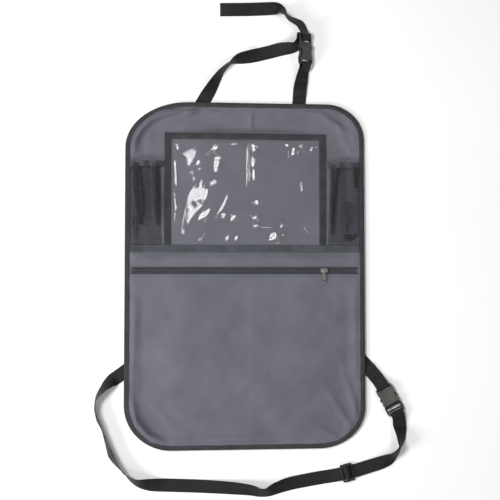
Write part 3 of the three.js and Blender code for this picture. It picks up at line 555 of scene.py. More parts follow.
def moulded_acetal(name, colour, light):
    """Injection moulded acetal: smooth and glossy, with the faint grain of the mould."""
    finish, tree, shader = new_finish(name, colour, 0.3, IOR=1.48, Specular_IOR_Level=0.55)
    place = place_of(tree)
    tree.links.new(clouded(tree, place, 0.02, colour, light), shader.inputs["Base Color"])
    grain = add_node(tree, "ShaderNodeTexNoise", {"Vector": place, "Scale": 900.0, "Detail": 2.0})
    scratches = {"Value": grain.outputs["Fac"], "To Min": 0.24, "To Max": 0.4}
    rough = add_node(tree, "ShaderNodeMapRange", scratches)
    tree.links.new(rough.outputs[0], shader.inputs["Roughness"])
    bumped(tree, shader, grain.outputs["Fac"], 0.00006, 0.5)
    return finish


def nickel_casting():
    """Nickel plated zinc die casting: bright, with soft flow marks and tiny pits."""
    finish, tree, shader = new_finish("nickel_plated_zinc", "#cbc9c0", 0.28, Metallic=1.0)
    place = place_of(tree)
    marks = add_node(tree, "ShaderNodeTexNoise", {"Vector": place, "Scale": 350.0, "Detail": 3.0})
    polish = {"Value": marks.outputs["Fac"], "To Min": 0.18, "To Max": 0.42}
    rough = add_node(tree, "ShaderNodeMapRange", polish)
    tree.links.new(rough.outputs[0], shader.inputs["Roughness"])
    bumped(tree, shader, marks.outputs["Fac"], 0.00008, 0.5)
    return finish


def nylon_coil():
    """Extruded nylon monofilament: smooth and slightly glossy black."""
    finish, tree, shader = new_finish("nylon_monofilament", "#1d1e20", 0.35, IOR=1.53)
    place = place_of(tree)
    tree.links.new(clouded(tree, place, 0.015, "#191a1c", "#26272a"), shader.inputs["Base Color"])
    return finish


def zip_tape_weave():
    """Woven zip tape, black. Its threads are 0.5 mm apart, drawn 1.3 mm apart to show."""
    finish, tree, shader = new_finish(
        "zip_tape_weave", "#3c3e41", 0.75, Sheen_Weight=0.1, Sheen_Roughness=0.5, Specular_IOR_Level=0.3
    )
    place = place_of(tree)
    height = weave_height(tree, place, 0.0013, 0.0013)
    patches = clouded(tree, place, 0.02, "#383a3d", "#434549")
    threads_show(tree, shader, patches, height, 0.6, 0.0002)
    return finish


def sewing_thread(name, colour):
    """Bonded polyester thread: dull, its twisted plies too fine to show but for a slight roughness."""
    finish, tree, shader = new_finish(name, colour, 0.5, Sheen_Weight=0.15, Sheen_Roughness=0.4)
    place = place_of(tree)
    twist = add_node(tree, "ShaderNodeTexNoise", {"Vector": place, "Scale": 1800.0, "Detail": 1.0})
    bumped(tree, shader, twist.outputs["Fac"], 0.0001, 0.7)
    return finish


OXFORD = oxford_cloth()
BINDING = binding_tape("grosgrain_tape", "#2b2d30", "#3a3d40")
# The same grosgrain tape in a paler grey, for the cross binding
CROSS_TAPE = binding_tape("pale_grosgrain_tape", "#42454a", "#52555b")
WEBBING = webbing_weave()
NET = knitted_mesh()
ELASTIC = ribbed_elastic()
FILM = vinyl_film()
BLACK_ACETAL = moulded_acetal("black_acetal", "#1c1d1e", "#26272a")
GREY_ACETAL = moulded_acetal("grey_acetal", "#4d4b48", "#5a5855")
NICKEL = nickel_casting()
COIL = nylon_coil()
ZIP_TAPE = zip_tape_weave()
DARK_THREAD = sewing_thread("dark_thread", "#4a4c51")


# The panel and its pockets

# Where the photograph shows the cloth dented or raised: x, y, long and short reach, turn, height
PANEL_DENTS = (
    (-206, 252, 26, 6, 66, 4.6),
    (-194, 273, 26, 6, 49, 5.6),
    (-172, 292, 26, 6, 31, 5.6),
    (-142, 304, 26, 6, 14, 5.0),
    (-98, 308, 15, 5, 26, 5.0),
    (-150, 278, 46, 9, 36, 2.0),
    (-66, 309, 24, 5, -12, 2.2),
    (-44, 303, 18, 6, 20, 1.6),
    (168, 290, 46, 7, -38, 3.0),
    (140, 302, 44, 6, -24, 2.2),
    (190, 256, 32, 7, -64, 2.2),
    (96, 304, 42, 6, 5, 1.4),
    (-206, 236, 26, 6, 84, 1.8),
    (60, 290, 34, 8, -8, 1.2),
)
POCKET_DENTS = (
    (-206, -254, 30, 6, -75, 5.4),
    (-191, -282, 26, 6, -50, 6.6),
    (-168, -301, 24, 6, -28, 5.8),
    (-150, -262, 44, 9, -48, 1.8),
    (203, -236, 60, 7, 108, 3.0),
    (186, -266, 54, 7, 122, 2.8),
    (160, -300, 44, 7, 150, 2.4),
    (-207, -96, 90, 8, 88, 2.2),
    (208, -60, 110, 8, 91, 2.0),
    (-60, -306, 120, 8, 1, 2.0),
    (70, -300, 110, 9, 3, 2.2),
    (-90, -120, 120, 60, 20, 1.8),
    (70, -200, 130, 50, -25, 1.6),
    (110, -60, 90, 34, 12, -1.4),
    (-120, -220, 90, 30, 40, -1.4),
)


def dents(x, y, places):
    """The sum of soft hills and hollows, one for each place."""
    return sum(height * bump(x, y, x0, y0, long, short, turn) for x0, y0, long, short, turn, height in places)


def slack(x, y, size, depth, seed):
    """The small unevenness of hanging cloth: a few crossing waves with lengths near the given size."""
    lengths = np.array([1.0, 1.37, 0.71, 0.53, 1.83])
    turns = np.array([0.4, 1.7, 2.6, 1.1, 2.1]) + seed
    total = 0
    for length, turn in zip(lengths, turns):
        away = x * math.cos(turn) + y * math.sin(turn)
        total = total + np.sin(away / (size * length) * 2 * math.pi + 5 * turn)
    return depth * total / len(lengths)


def fold_ridge(x, y):
    """The crease down the middle of the head end: a sharp rise at FOLD_X with a shallow dip beside it."""
    above = swell((y - WINDOW_TOP - 2) / 8)
    below = swell((PANEL_HEIGHT / 2 - BINDING_WIDTH - 6 - y) / 8)
    ridge = 1.9 * np.exp(-np.abs(x - FOLD_X) / 3.2) - 0.8 * bump(x, y, FOLD_X + 9, y, 5, 1e3)
    return ridge * above * below


def lower_crease(x):
    """The same packing fold, hardly felt, down the large pocket."""
    return 0.5 * np.exp(-np.abs(x - FOLD_X - 3) / 7)


def back_panel():
    """The bound back cloth, creased where it lies bare at the head end and never below the table."""
    half = PANEL_HEIGHT / 2 - SHEET_INSET
    x, y = panel_grid(-half, half, 280, 170)
    inside = swell((edge_distance(x, y) - BINDING_WIDTH) / 9)
    beside = swell((np.abs(x) - SHOULDER_START) / 12) * swell((y - MESH_TOP - 8) / 14)
    head = np.maximum(swell((y - WINDOW_TOP - 6) / 16), beside)
    rise = panel_top(x, y) + fold_ridge(x, y) + inside * head * dents(x, y, PANEL_DENTS)
    rise = rise + inside * head * slack(x, y, 48, 0.35, 0.3)
    top = tapered(x, y, rise)
    points, faces = closed_sheet(top, PANEL_THICKNESS)
    layer = len(points) // 2
    points[layer:, 2] = np.minimum(points[:layer, 2], tapered(x, y, panel_top(x, y)).reshape(-1, 3)[:, 2])
    points[layer:, 2] = np.maximum(points[layer:, 2] - PANEL_THICKNESS, 0)
    piece = mesh_object("panel_cloth", points, faces, OXFORD, sheet_uv(top))
    settle(piece, "pocket_cloth", "back_panel")


def pocket_under(x, y):
    """Underside of the large pocket: seated on the lifted edge and on the zip, swollen between them."""
    low = panel_top(x, y) + GAP
    side = np.minimum(x - left_edge(y), right_edge(y) - x) - BINDING_WIDTH - 2
    foot = y + PANEL_HEIGHT / 2 - BINDING_WIDTH - 2
    puff = POCKET_PUFF * swell(side / POCKET_REACH) * swell(foot / POCKET_REACH)
    seat = mix(PANEL_EDGE_TOP + GAP, ZIP_SEAT, ramp((edge_distance(x, y) - BINDING_WIDTH - 0.5) / 6))
    return mix(seat, low + puff, swell((POCKET_TOP_Y - ZIP_TAPE_OVERLAP - y) / 60))


def large_pocket():
    """The zipped pocket: dented, slack cloth on its swollen form, kept clear of the panel."""
    foot = SHEET_INSET - PANEL_HEIGHT / 2
    x, y = panel_grid(foot, POCKET_TOP_Y, 200, 200)
    inside = swell((edge_distance(x, y) - BINDING_WIDTH - 1) / 10) * swell((POCKET_TOP_Y - 14 - y) / 50)
    form = dents(x, y, POCKET_DENTS) + slack(x, y, 90, 0.9, 1.3) + slack(x, y, 33, 0.28, 0.2)
    free = np.maximum(form + lower_crease(x), -0.6 * (pocket_under(x, y) - panel_top(x, y)))
    top = tapered(x, y, pocket_under(x, y) + CLOTH_THICKNESS + inside * free)
    piece = laid_sheet("large_pocket", top, CLOTH_THICKNESS, OXFORD, "pocket_cloth", "pocket_panel")


def facing():
    """The strip of cloth between the cross binding and the zip, dropping at its head under the binding."""
    x, y = panel_grid(FACING_FOOT_Y, CROSS_Y - 1, 34, 180)
    inward = ramp((edge_distance(x, y) - BINDING_WIDTH - 0.5) / 6)
    seat = mix(PANEL_EDGE_TOP + GAP, ZIP_SEAT, inward)
    high = ramp((CROSS_Y - CROSS_WIDTH / 2 - y) / (CROSS_WIDTH * 0.8))
    loose = swell((y - FACING_FOOT_Y - 3) / 8) * swell((CROSS_Y - CROSS_WIDTH / 2 - y) / 6)
    rise = mix(panel_top(x, y) + GAP, seat, high) + CLOTH_THICKNESS
    rise = rise + inward * loose * (0.5 + slack(x, y, 40, 0.5, 0.9))
    top = tapered(x, y, rise)
    piece = laid_sheet("facing_cloth", top, CLOTH_THICKNESS, OXFORD, "pocket_cloth", "facing_strip")


# Bindings


def outline(inset, per_corner=30, side_step=5):
    """Points round the panel at an inset, anticlockwise from the lower right. Each corner is a
    quarter of an ellipse about a fixed middle, and each side runs straight between two corners."""
    order = (("bottom_right", 1, -1), ("top_right", 1, 1), ("top_left", -1, 1), ("bottom_left", -1, -1))
    quarter = np.linspace(0, math.pi / 2, per_corner)
    runs = []
    for name, sign_x, sign_y in order:
        across, down = CORNERS[name]
        angle = quarter if sign_x * sign_y > 0 else quarter[::-1]
        x = sign_x * (PANEL_WIDTH / 2 - across + (across - inset) * np.cos(angle))
        y = sign_y * (PANEL_HEIGHT / 2 - down + (down - inset) * np.sin(angle))
        runs.append(np.stack([x, y], -1))
    pieces = []
    for k, run in enumerate(runs):
        pieces.append(run)
        ahead = runs[(k + 1) % 4][0]
        steps = int((PANEL_WIDTH, PANEL_HEIGHT)[(k + 1) % 2] / side_step)
        t = np.linspace(0, 1, steps + 1)[1:-1, None]
        pieces.append(run[-1] + (ahead - run[-1]) * t)
    return np.concatenate(pieces)


def folded_tape(width, low, high, thickness, bulge=0.25):
    """A folded tape seen end on, as inset and height arrays: two legs and a rounded web.
    low and high may be arrays, one value a station."""
    low, high = np.broadcast_arrays(np.asarray(low, float), np.asarray(high, float))
    turn = np.linspace(-math.pi / 2, math.pi / 2, 9)
    middle, half = (low + high) / 2, (high - low) / 2
    outer_inset = half[..., None] * 0.35 * (1 - np.cos(turn))
    outer_height = middle[..., None] + half[..., None] * np.sin(turn)
    t = np.array([0.25, 0.5, 0.75, 1.0])
    shape = low.shape + (len(t),)
    leg = np.broadcast_to(width * t, shape)
    swollen = bulge * np.sin(math.pi * t)
    top_height = high[..., None] + np.broadcast_to(swollen * (t < 1), shape)
    under_top = np.broadcast_to(high[..., None] - thickness, shape)
    over_low = np.broadcast_to(low[..., None] + thickness, shape)
    low_height = np.broadcast_to(low[..., None], shape)
    inset = np.concatenate([outer_inset, leg, leg[..., ::-1], leg, leg[..., ::-1]], -1)
    legs = [top_height, under_top[..., ::-1], over_low, low_height[..., ::-1]]
    height = np.concatenate([outer_height, *legs], -1)
    return inset, height


def along_uv(sections):
    """Across and along for a skin over equal sections, in metres, measured on the skin itself."""
    around = np.linalg.norm(np.diff(sections, axis=1), axis=2)
    across = np.concatenate([np.zeros((len(sections), 1)), np.cumsum(around, axis=1)], axis=1)
    middle = sections.mean(axis=1)
    along = np.broadcast_to(lengths_along(middle)[:, None], across.shape)
    return np.stack([across, along], -1).reshape(-1, 2) * MM


def cover_height(y):
    """Underside of the binding's upper leg: over the bare panel, or over one more layer below the
    mouths of the net pockets."""
    return PANEL_EDGE_TOP + GAP + (MESH_THICKNESS + GAP) * ramp((MESH_TOP + 12 - y) / 9)


def edge_binding():
    """Grosgrain folded round the panel's edge. Its legs pucker a little between stitches."""
    base = outline(0)
    travelled = lengths_along(base)
    high = cover_height(base[:, 1]) + BINDING_THICKNESS
    inset, height = folded_tape(BINDING_WIDTH, BINDING_FOOT, high, BINDING_THICKNESS, 0.3)
    pucker = 0.14 * np.sin(travelled * 2 * math.pi / 13) + 0.1 * np.sin(travelled * 2 * math.pi / 31 + 1)
    edge = 0.3 * np.sin(travelled * 2 * math.pi / 57) + 0.18 * np.sin(travelled * 2 * math.pi / 23 + 2)
    direction = (outline(BINDING_WIDTH) - base) / BINDING_WIDTH
    leg = ramp(inset / BINDING_WIDTH)
    reach = inset + (edge[:, None] * swell((leg - 0.5) * 2))
    flat = base[:, None, :] + direction[:, None, :] * reach[:, :, None]
    upper = ramp((height - BINDING_FOOT - 1) / 2)
    rise = height + pucker[:, None] * upper * ramp(leg * 2) * 0.7
    sections = tapered(flat[..., 0], flat[..., 1], rise)
    points, faces = skin(sections, closed=True)
    piece = mesh_object("edge_tape", points, faces, BINDING, along_uv(sections))
    settle(piece, "binding_tape", "edge_binding")
    seam = outline(6.6)
    z = cover_height(seam[:, 1]) + BINDING_THICKNESS + 0.18
    path = tapered(seam[:, 0], seam[:, 1], z)
    path = np.concatenate([path, path[:1]])
    up = np.tile([0.0, 0.0, 1.0], (len(path), 1))
    below = path.copy()
    below[:, 2] = BINDING_FOOT
    thread = together([
        stitch_row(path, up, 2.9, 3.9, 0.3, 0.22),
        stitch_row(below, -up, 2.9, 3.9, 0.25, 0.2),
    ])
    settle(mesh_object("edge_stitches", *thread, DARK_THREAD), "binding_tape")


def flat_binding(name, grid, thickness, node, rows_of_thread, finish=BINDING):
    """A flat tape over a grid of top points, with rows of stitches along it."""
    flat = np.stack([
        np.broadcast_to(lengths_along(grid[:, 0])[:, None], grid.shape[:2]),
        np.broadcast_to(lengths_along(grid[grid.shape[0] // 2])[None, :], grid.shape[:2]),
    ], -1).reshape(-1, 2) * MM
    laid_sheet(name, grid, thickness, finish, "binding_tape", node, np.concatenate([flat, flat]))
    paths = [grid[row] + np.array([0, 0, 0.05]) for row in rows_of_thread]
    sewn(name + "_stitches", "binding_tape", paths)


def cross_binding():
    """The tape across the foot of the window and the net pockets, rising a little along its middle."""
    rows = 15
    v = np.linspace(-1, 1, rows)
    y = CROSS_Y + v * CROSS_WIDTH / 2
    left, right = row_ends(CROSS_Y, BINDING_WIDTH + 1)
    x = np.linspace(left, right, 220)
    gx, gy = np.meshgrid(x, y)
    wander = 0.35 * np.sin(gx / 29) + 0.25 * np.sin(gx / 13 + 1)
    crown = 0.35 * (1 - v[:, None] ** 2) + 0.12 * np.sin(gx / 4.2) * (1 - v[:, None] ** 2)
    rise = panel_top(gx, gy) + 2 * GAP + MESH_THICKNESS + BINDING_THICKNESS + crown
    grid = tapered(gx, gy + wander * 0.6, rise)
    flat_binding("cross_tape", grid, BINDING_THICKNESS, "cross_binding", (2, 12), CROSS_TAPE)


FILM_LEFT = WINDOW_LEFT + WINDOW_BINDING_WIDTH / 2 + 1
FILM_RIGHT = WINDOW_RIGHT - WINDOW_BINDING_WIDTH / 2 - 1
SPAN_LEFT = WINDOW_LEFT + WINDOW_BINDING_WIDTH + 1
SPAN_RIGHT = WINDOW_RIGHT - WINDOW_BINDING_WIDTH - 1
FILM_TOP = WINDOW_TOP - GAP - BINDING_THICKNESS


def side_binding(name, start, node):
    """The tape over the edge of the film, beside a net pocket."""
    y = np.linspace(CROSS_Y + CROSS_WIDTH / 2 + GAP, WINDOW_TOP - WINDOW_BINDING_WIDTH - GAP, 120)
    v = np.linspace(-1, 1, 13)
    x = start + (v + 1) * WINDOW_BINDING_WIDTH / 2
    gx, gy = np.meshgrid(x, y)
    up = ramp((gy - MESH_FOOT) / (FILM_TOP - MESH_FOOT))
    crown = (0.3 + 0.1 * np.sin(gy / 4.4)) * (1 - v[None, :] ** 2)
    rise = PANEL_THICKNESS + 2 * GAP + MESH_THICKNESS + FILM_RISE * up + BINDING_THICKNESS + crown
    grid = tapered(gx, gy, rise).transpose(1, 0, 2)[::-1]
    flat_binding(name, grid, BINDING_THICKNESS, node, (2, 10))


def film_under(x, y):
    """Underside of the film: held at its foot and sides, swollen in the middle, open at its mouth."""
    up = ramp((y - MESH_FOOT) / (FILM_TOP - MESH_FOOT))
    across = swell((x - SPAN_LEFT) / 90) * swell((SPAN_RIGHT - x) / 90)
    along = swell((y - MESH_FOOT - CROSS_WIDTH / 2) / 70)
    mouth = mix(1, FILM_MOUTH / FILM_PUFF, swell((y - FILM_TOP + 60) / 60))
    wave = np.sin((x + 0.6 * y) / FILM_RIPPLE_LENGTH * 2 * math.pi)
    wave2 = np.cos((x - 0.9 * y) / (FILM_RIPPLE_LENGTH * 1.4) * 2 * math.pi)
    still = ramp((FILM_TOP - WINDOW_BINDING_WIDTH - y) / 30)
    puff = FILM_PUFF * across * along * mouth
    ripple = FILM_RIPPLE * across * along * still * (wave + wave2)
    return PANEL_THICKNESS + GAP + FILM_RISE * up + puff + ripple


# Creases in the film where the photograph shows thin glints: x, y of both ends, width and height
FILM_CREASES = (
    (7, 256, 6, 170, 2.4, 0.9),
    (6, 170, 6, 64, 2.0, 0.5),
    (-97, 137, -93, 132, 2.4, 1.2),
    (-84, 141, -77, 137, 2.0, 0.9),
    (-92, 178, -90, 168, 2.2, 0.9),
    (-78, 176, -74, 166, 2.0, 0.9),
    (-109, 128, -115, 92, 1.5, 0.6),
    (-114, 98, -110, 72, 3.4, 0.8),
    (-94, 100, -84, 76, 3.4, 0.9),
    (104, 176, 106, 160, 2.8, 0.7),
    (110, 90, 116, 80, 3.2, 1.0),
    (-126, 246, -122, 234, 3.2, 0.8),
    (-130, 216, -128, 170, 3.0, 0.8),
    (-132, 160, -127, 124, 3.0, 0.8),
    (-130, 116, -133, 76, 3.0, 0.8),
    (122, 210, 126, 150, 5.0, 0.6),
)

# Where the film lies tilted enough to mirror the key lamp: patches of x, y, long and short reach, turn,
# several to a facet where its outline is not oval
FILM_FACETS = (
    ((-86, 154, 32, 22, 30), (-94, 130, 30, 20, 58), (-107, 104, 30, 9, 65), (-116, 82, 20, 5, 78)),
    ((-77, 115, 17, 9, 40),),
    ((-36, 143, 18, 4.5, 70), (-46, 126, 18, 4.5, 52)),
    ((-40, 114, 8, 6, 0),),
    ((-22, 109, 12, 6, 20),),
    ((-84, 70, 18, 7, 40),),
    ((-34, 70, 13, 6, 45),),
    ((-17, 70, 11, 6, 45),),
    ((-108, 65, 10, 6, 30),),
    ((50, 74, 22, 16, 0),),
    ((69, 95, 8, 4, 0),),
    ((92, 236, 14, 6.5, 80),),
    ((80, 248, 10, 5, -20),),
    ((107, 247, 10, 5.5, 10),),
    ((127, 241, 12, 5, 30),),
    ((17, 242, 16, 6.5, 90),),
    ((15, 216, 16, 6.5, 90),),
    ((17, 190, 15, 6, 90),),
    ((-53, 211, 20, 10, 75), (-46, 222, 12, 4, 15)),
    ((-56, 240, 20, 5, 25),),
    ((-22, 250, 16, 6, -10),),
    ((-101, 225, 16, 9, 45), (-113, 229, 10, 6, -20)),
    ((-58, 175, 14, 4.5, 5),),
    ((23, 138, 8, 7, 0),),
    ((19, 110, 9, 4.5, 0),),
    ((20, 95, 10, 4.5, 0),),
)
# The slope that mirrors the key lamp at the middle of the panel, and how it changes over a millimetre
MIRROR_SLOPE = (0.254, -0.088)
MIRROR_CHANGE = (0.00037, 0.0004)


def crease_height(x, y, creases):
    """Rounded ridges over straight lines: e to the minus squared distance from the line over its width."""
    total = 0
    for x0, y0, x1, y1, width, height in creases:
        length = (x1 - x0) ** 2 + (y1 - y0) ** 2
        t = ramp(((x - x0) * (x1 - x0) + (y - y0) * (y1 - y0)) / length)
        away = (x - x0 - t * (x1 - x0)) ** 2 + (y - y0 - t * (y1 - y0)) ** 2
        total = total + height * np.exp(-away / width**2)
    return total


def tilted_facets(x, y, form, facets):
    """Brings the film to the mirror's slope over each facet: the slope that is missing at its first
    patch times the distance from there, held within the patches, each e to the minus fourth power of
    its own distance."""
    step_x, step_y = x[0, 1] - x[0, 0], y[1, 0] - y[0, 0]
    for patches in facets:
        x0, y0 = patches[0][:2]
        row = int(round((y0 - y[0, 0]) / step_y))
        column = int(round((x0 - x[0, 0]) / step_x))
        slope_x = (form[row, column + 2] - form[row, column - 2]) / (4 * step_x)
        slope_y = (form[row + 2, column] - form[row - 2, column]) / (4 * step_y)
        missing_x = MIRROR_SLOPE[0] + MIRROR_CHANGE[0] * x0 - slope_x
        missing_y = MIRROR_SLOPE[1] + MIRROR_CHANGE[1] * y0 - slope_y
        outside = 1
        for patch in patches:
            outside = outside * (1 - np.exp(-np.log(bump(x, y, *patch) + 1e-30) ** 2))
        form = form + (missing_x * (x - x0) + missing_y * (y - y0)) * (1 - outside)
    return form


def window_film():
    """The clear film, tilted and creased only where nothing holds it, and kept clear of the panel."""
    x = np.linspace(FILM_LEFT, FILM_RIGHT, 250)
    y = np.linspace(MESH_FOOT, FILM_TOP, 190)
    gx, gy = np.meshgrid(x, y)
    free = swell((gx - SPAN_LEFT) / 14) * swell((SPAN_RIGHT - gx) / 14)
    free = free * swell((gy - CROSS_Y - CROSS_WIDTH / 2) / 12)
    free = free * swell((FILM_TOP - WINDOW_BINDING_WIDTH - gy) / 10)
    fine = slack(gx, gy, 24, 0.14, 0.8) + slack(gx, gy, 9, 0.02, 2.2)
    form = tilted_facets(gx, gy, film_under(gx, gy) + fine, FILM_FACETS) + crease_height(gx, gy, FILM_CREASES)
    form = mix(film_under(gx, gy), form, free)
    form = np.maximum(form, PANEL_THICKNESS + GAP)
    top = tapered(gx, gy, form + FILM_THICKNESS)
    piece = laid_sheet("window_vinyl", top, FILM_THICKNESS, FILM, "clear_film", "window_film")


def window_mouth():
    """The tape folded over the mouth of the film."""
    x = np.linspace(WINDOW_LEFT, WINDOW_RIGHT, 160)
    foot = WINDOW_TOP - WINDOW_BINDING_WIDTH
    ends = np.stack([film_under(x, FILM_TOP), film_under(x, foot)])
    low = ends.min(0) - GAP - BINDING_THICKNESS
    high = ends.max(0) + FILM_THICKNESS + GAP + BINDING_THICKNESS
    pucker = 0.12 * np.sin(x / 2.1) + 0.15 * np.sin(x / 7)
    inset, height = folded_tape(WINDOW_BINDING_WIDTH, low, high + pucker, BINDING_THICKNESS, 0.25)
    wave = 0.3 * np.sin(x / 17)[:, None] * ramp(inset / WINDOW_BINDING_WIDTH)
    flat_x = np.broadcast_to(x[:, None], inset.shape)
    sections = tapered(flat_x, WINDOW_TOP - inset + wave, height)
    points, faces = skin(sections)
    piece = mesh_object("window_mouth_tape", points, faces, BINDING, along_uv(sections))
    settle(piece, "binding_tape", "window_binding_top")
    path = tapered(x, np.full_like(x, foot + 2.2), high + pucker + 0.12)[3:-3]
    sewn("window_mouth_stitches", "binding_tape", [path], rise=0.2)


# Net pockets


# Folds that the photograph shows in the nets: place across at head and foot and half widths there,
# as shares of the pocket's width, the heights of head and foot, and how many more plies lie there
LEFT_FOLDS = (
    (0.12, 0.27, 0.10, 0.17, 211, 96, 3),
    (0.68, 0.78, 0.07, 0.11, 211, 94, 3),
    (0.12, 0.16, 0.06, 0.08, 112, 74, 1),
)
RIGHT_FOLDS = (
    (0.22, 0.12, 0.08, 0.05, 211, 78, 3),
    (0.84, 0.86, 0.06, 0.05, 206, 164, 2),
    (0.66, 0.60, 0.06, 0.12, 140, 84, 1),
    (0.66, 0.66, 0.16, 0.14, 80, 66, 2),
)


def mesh_lines(side):
    """Where a net pocket is held across: at the panel's edge and at the window's tape."""
    outer = left_edge(CROSS_Y) + BINDING_WIDTH if side < 0 else right_edge(CROSS_Y) - BINDING_WIDTH
    tape = WINDOW_LEFT if side < 0 else WINDOW_RIGHT
    under_tape = tape - side * (WINDOW_BINDING_WIDTH / 2 - 1)
    lines = [outer + side, outer - side * GAP, tape + side * GAP, under_tape]
    return sorted(float(v) for v in lines)


def mesh_under(x, y, lines):
    """The net's belly: a bulge across, growing from its foot, with upright pleats."""
    low = panel_top(x, y) + GAP
    u = ramp((x - lines[1]) / (lines[2] - lines[1]))
    up = ramp((y - MESH_FOOT) / (MESH_TOP - MESH_FOOT))
    free = swell((y - CROSS_Y - CROSS_WIDTH / 2 - GAP) / MESH_PUFF_REACH)
    belly = np.sin(math.pi * u) ** 0.8 * free * mix(1, 0.8, up)
    pleat = np.sin(2 * math.pi * (MESH_PLEATS * u + 0.3 * up)) * np.sin(math.pi * u)
    return low + MESH_PUFF * belly + MESH_PLEAT_DEPTH * pleat * free


def net_top(x, y, lines, side):
    """The net's face: its belly with pleats, crumpled by crossing waves and puckered below the mouth."""
    free = swell((x - lines[1]) / 8) * swell((lines[2] - x) / 8) * swell((y - CROSS_Y - CROSS_WIDTH / 2) / 20)
    crumple = 0.42 * slack(x, y, 17, 1.0, 0.5 + side)
    pucker = 0.54 * np.sin((x - 0.12 * y) / 3.1) * swell((y - 130) / 70)
    return mesh_under(x, y, lines) + MESH_THICKNESS + free * (crumple + pucker)


def net_cells(rows, columns):
    """Which cells of a knitted net are open: three by three of every four by four, band by band set over."""
    row, column = np.meshgrid(np.arange(rows), np.arange(columns), indexing="ij")
    holes = (row % 4 > 0) & ((column + 2 * (row // 4 % 2)) % 4 > 0)
    return holes & (row > 0) & (row < rows - 1) & (column > 0) & (column < columns - 1)


def net_pocket(name, side, node, elastic_node, folds):
    """A net pocket gathered by the elastic at its mouth, with real holes whose edges are rounded.
    It leaves a strip of the panel bare beside the window's tape. Real holes are 1.5 mm apart and
    these are 3.8 mm apart, to show."""
    lines = mesh_lines(side)
    columns = 4 * round((lines[3] - lines[0]) / 3.8)
    rows = 4 * round((MESH_TOP - MESH_FOOT) / 3.8)
    x, y = np.linspace(lines[0], lines[3], columns + 1), np.linspace(MESH_FOOT, MESH_TOP, rows + 1)
    gx, gy = np.meshgrid(x, y)
    top = tapered(gx + 0.5 * np.sin(gy / 23 + side), gy, net_top(gx, gy, lines, side))
    holes = net_cells(rows, columns)
    holes[:7] = False
    holes[-9:] = False
    u = ((gx - lines[1]) / (lines[2] - lines[1]))[1:, 1:]
    from_tape = 1 - u if side < 0 else u
    up = (gy[1:, 1:] - MESH_FOOT) / (MESH_TOP - MESH_FOOT)
    bare = (from_tape > 0.01) & (from_tape < 0.07 + 0.08 * up)
    bare[:7] = False
    bare[-9:] = False
    points, faces = closed_sheet(top, MESH_THICKNESS, holes | bare)
    piece = mesh_object(name, points, faces, NET, sheet_uv(top), sharp=180)
    rounding = piece.modifiers.new("rounding", "SUBSURF")
    rounding.levels = rounding.render_levels = 1
    settle(piece, "pocket_mesh", node)
    net_folds(name + "_folds", side, lines, folds)
    elastic_band(name + "_elastic", lines, elastic_node)


def net_folds(name, side, lines, folds):
    """The plies where the gathered net lies folded on itself. Each runs from a place across at the
    head to one at the foot, where it narrows to a point by the fourth power of the way, and droops
    at its sides by its ply's share of the width squared."""
    parts = []
    for u_head, u_foot, half_head, half_foot, y_head, y_foot, plies in folds:
        width = lines[2] - lines[1]
        columns = 4 * max(2, round((half_head + half_foot) * width / 4.2))
        rows = 4 * max(2, round((y_head - y_foot) / 4.2))
        u, v = np.meshgrid(np.linspace(-1, 1, columns + 1), np.linspace(0, 1, rows + 1))
        across = mix(u_foot, u_head, v) + u * mix(half_foot, half_head, v) * (1 - (1 - v) ** 4)
        x = lines[1] + width * np.clip(across, 0.02, 0.98)
        y = mix(y_foot, y_head, v)
        for ply in range(1, plies + 1):
            rise = ply * (MESH_THICKNESS + 0.25) + 0.8 * ply * (1 - u**2) * np.sin(math.pi * v)
            top = tapered(x + 0.9 * ply, y, net_top(x, y, lines, side) + rise)
            parts.append(closed_sheet(top, MESH_THICKNESS, net_cells(rows, columns)))
    piece = mesh_object(name, *together(parts), NET, sharp=180)
    settle(piece, "pocket_mesh")


def elastic_band(name, lines, node):
    """The elastic folded over the net's mouth, gathered into small upright ruffles."""
    x = np.linspace(lines[1], lines[2], 150)
    v = np.linspace(0, 1, 15)
    y = MESH_TOP - ELASTIC_WIDTH + v * (ELASTIC_WIDTH + 1.5)
    gx, gy = np.meshgrid(x, y)
    ruffle = 0.45 * np.sin(gx / 0.9 + np.sin(gx / 5)) + 0.3 * np.sin(gx / 2.3)
    round_edge = np.sin(math.pi * v[:, None]) ** 0.5
    under = mesh_under(gx, np.minimum(gy, MESH_TOP), lines) + MESH_THICKNESS + GAP
    top = tapered(gx, gy, under + ELASTIC_THICKNESS + 0.5 * round_edge + ruffle * round_edge * 0.6)
    laid_sheet(name, top, ELASTIC_THICKNESS, ELASTIC, "elastic_band", node)
    paths = [top[row] + np.array([0, 0, 0.05]) for row in (4, 10)]
    sewn(name + "_stitches", "elastic_band", paths, 2.2, 3.0, 0.25, 0.2)


# Zip


def zip_places(inset, count=300):
    """Even places along the zip, from the given distance inside the panel's left edge to the right."""
    return np.linspace(left_edge(ZIP_Y) + inset, right_edge(ZIP_Y) - inset, count)


def zip_tapes():
    """Both woven tapes, each with a slightly raised edge beside the coil."""
    for name, side in (("upper", 1), ("lower", -1)):
        inner = COIL_SLIT / 2 + COIL_WIDTH + GAP
        outer = ZIP_BAND / 2 + ZIP_TAPE_OVERLAP
        reach = np.linspace(inner, outer, 12)
        gx, gr = np.meshgrid(zip_places(TAPE_END_INSET), reach if side > 0 else -reach[::-1])
        bead = 0.12 * np.exp(-(((np.abs(gr) - inner - 0.5) / 0.4) ** 2))
        top = tapered(gx, ZIP_Y + gr, ZIP_TAPE_TOP + bead)
        node = "zip_tape_" + name
        laid_sheet(node + "_weave", top, ZIP_TAPE_THICKNESS, ZIP_TAPE, "zip_tape", node)


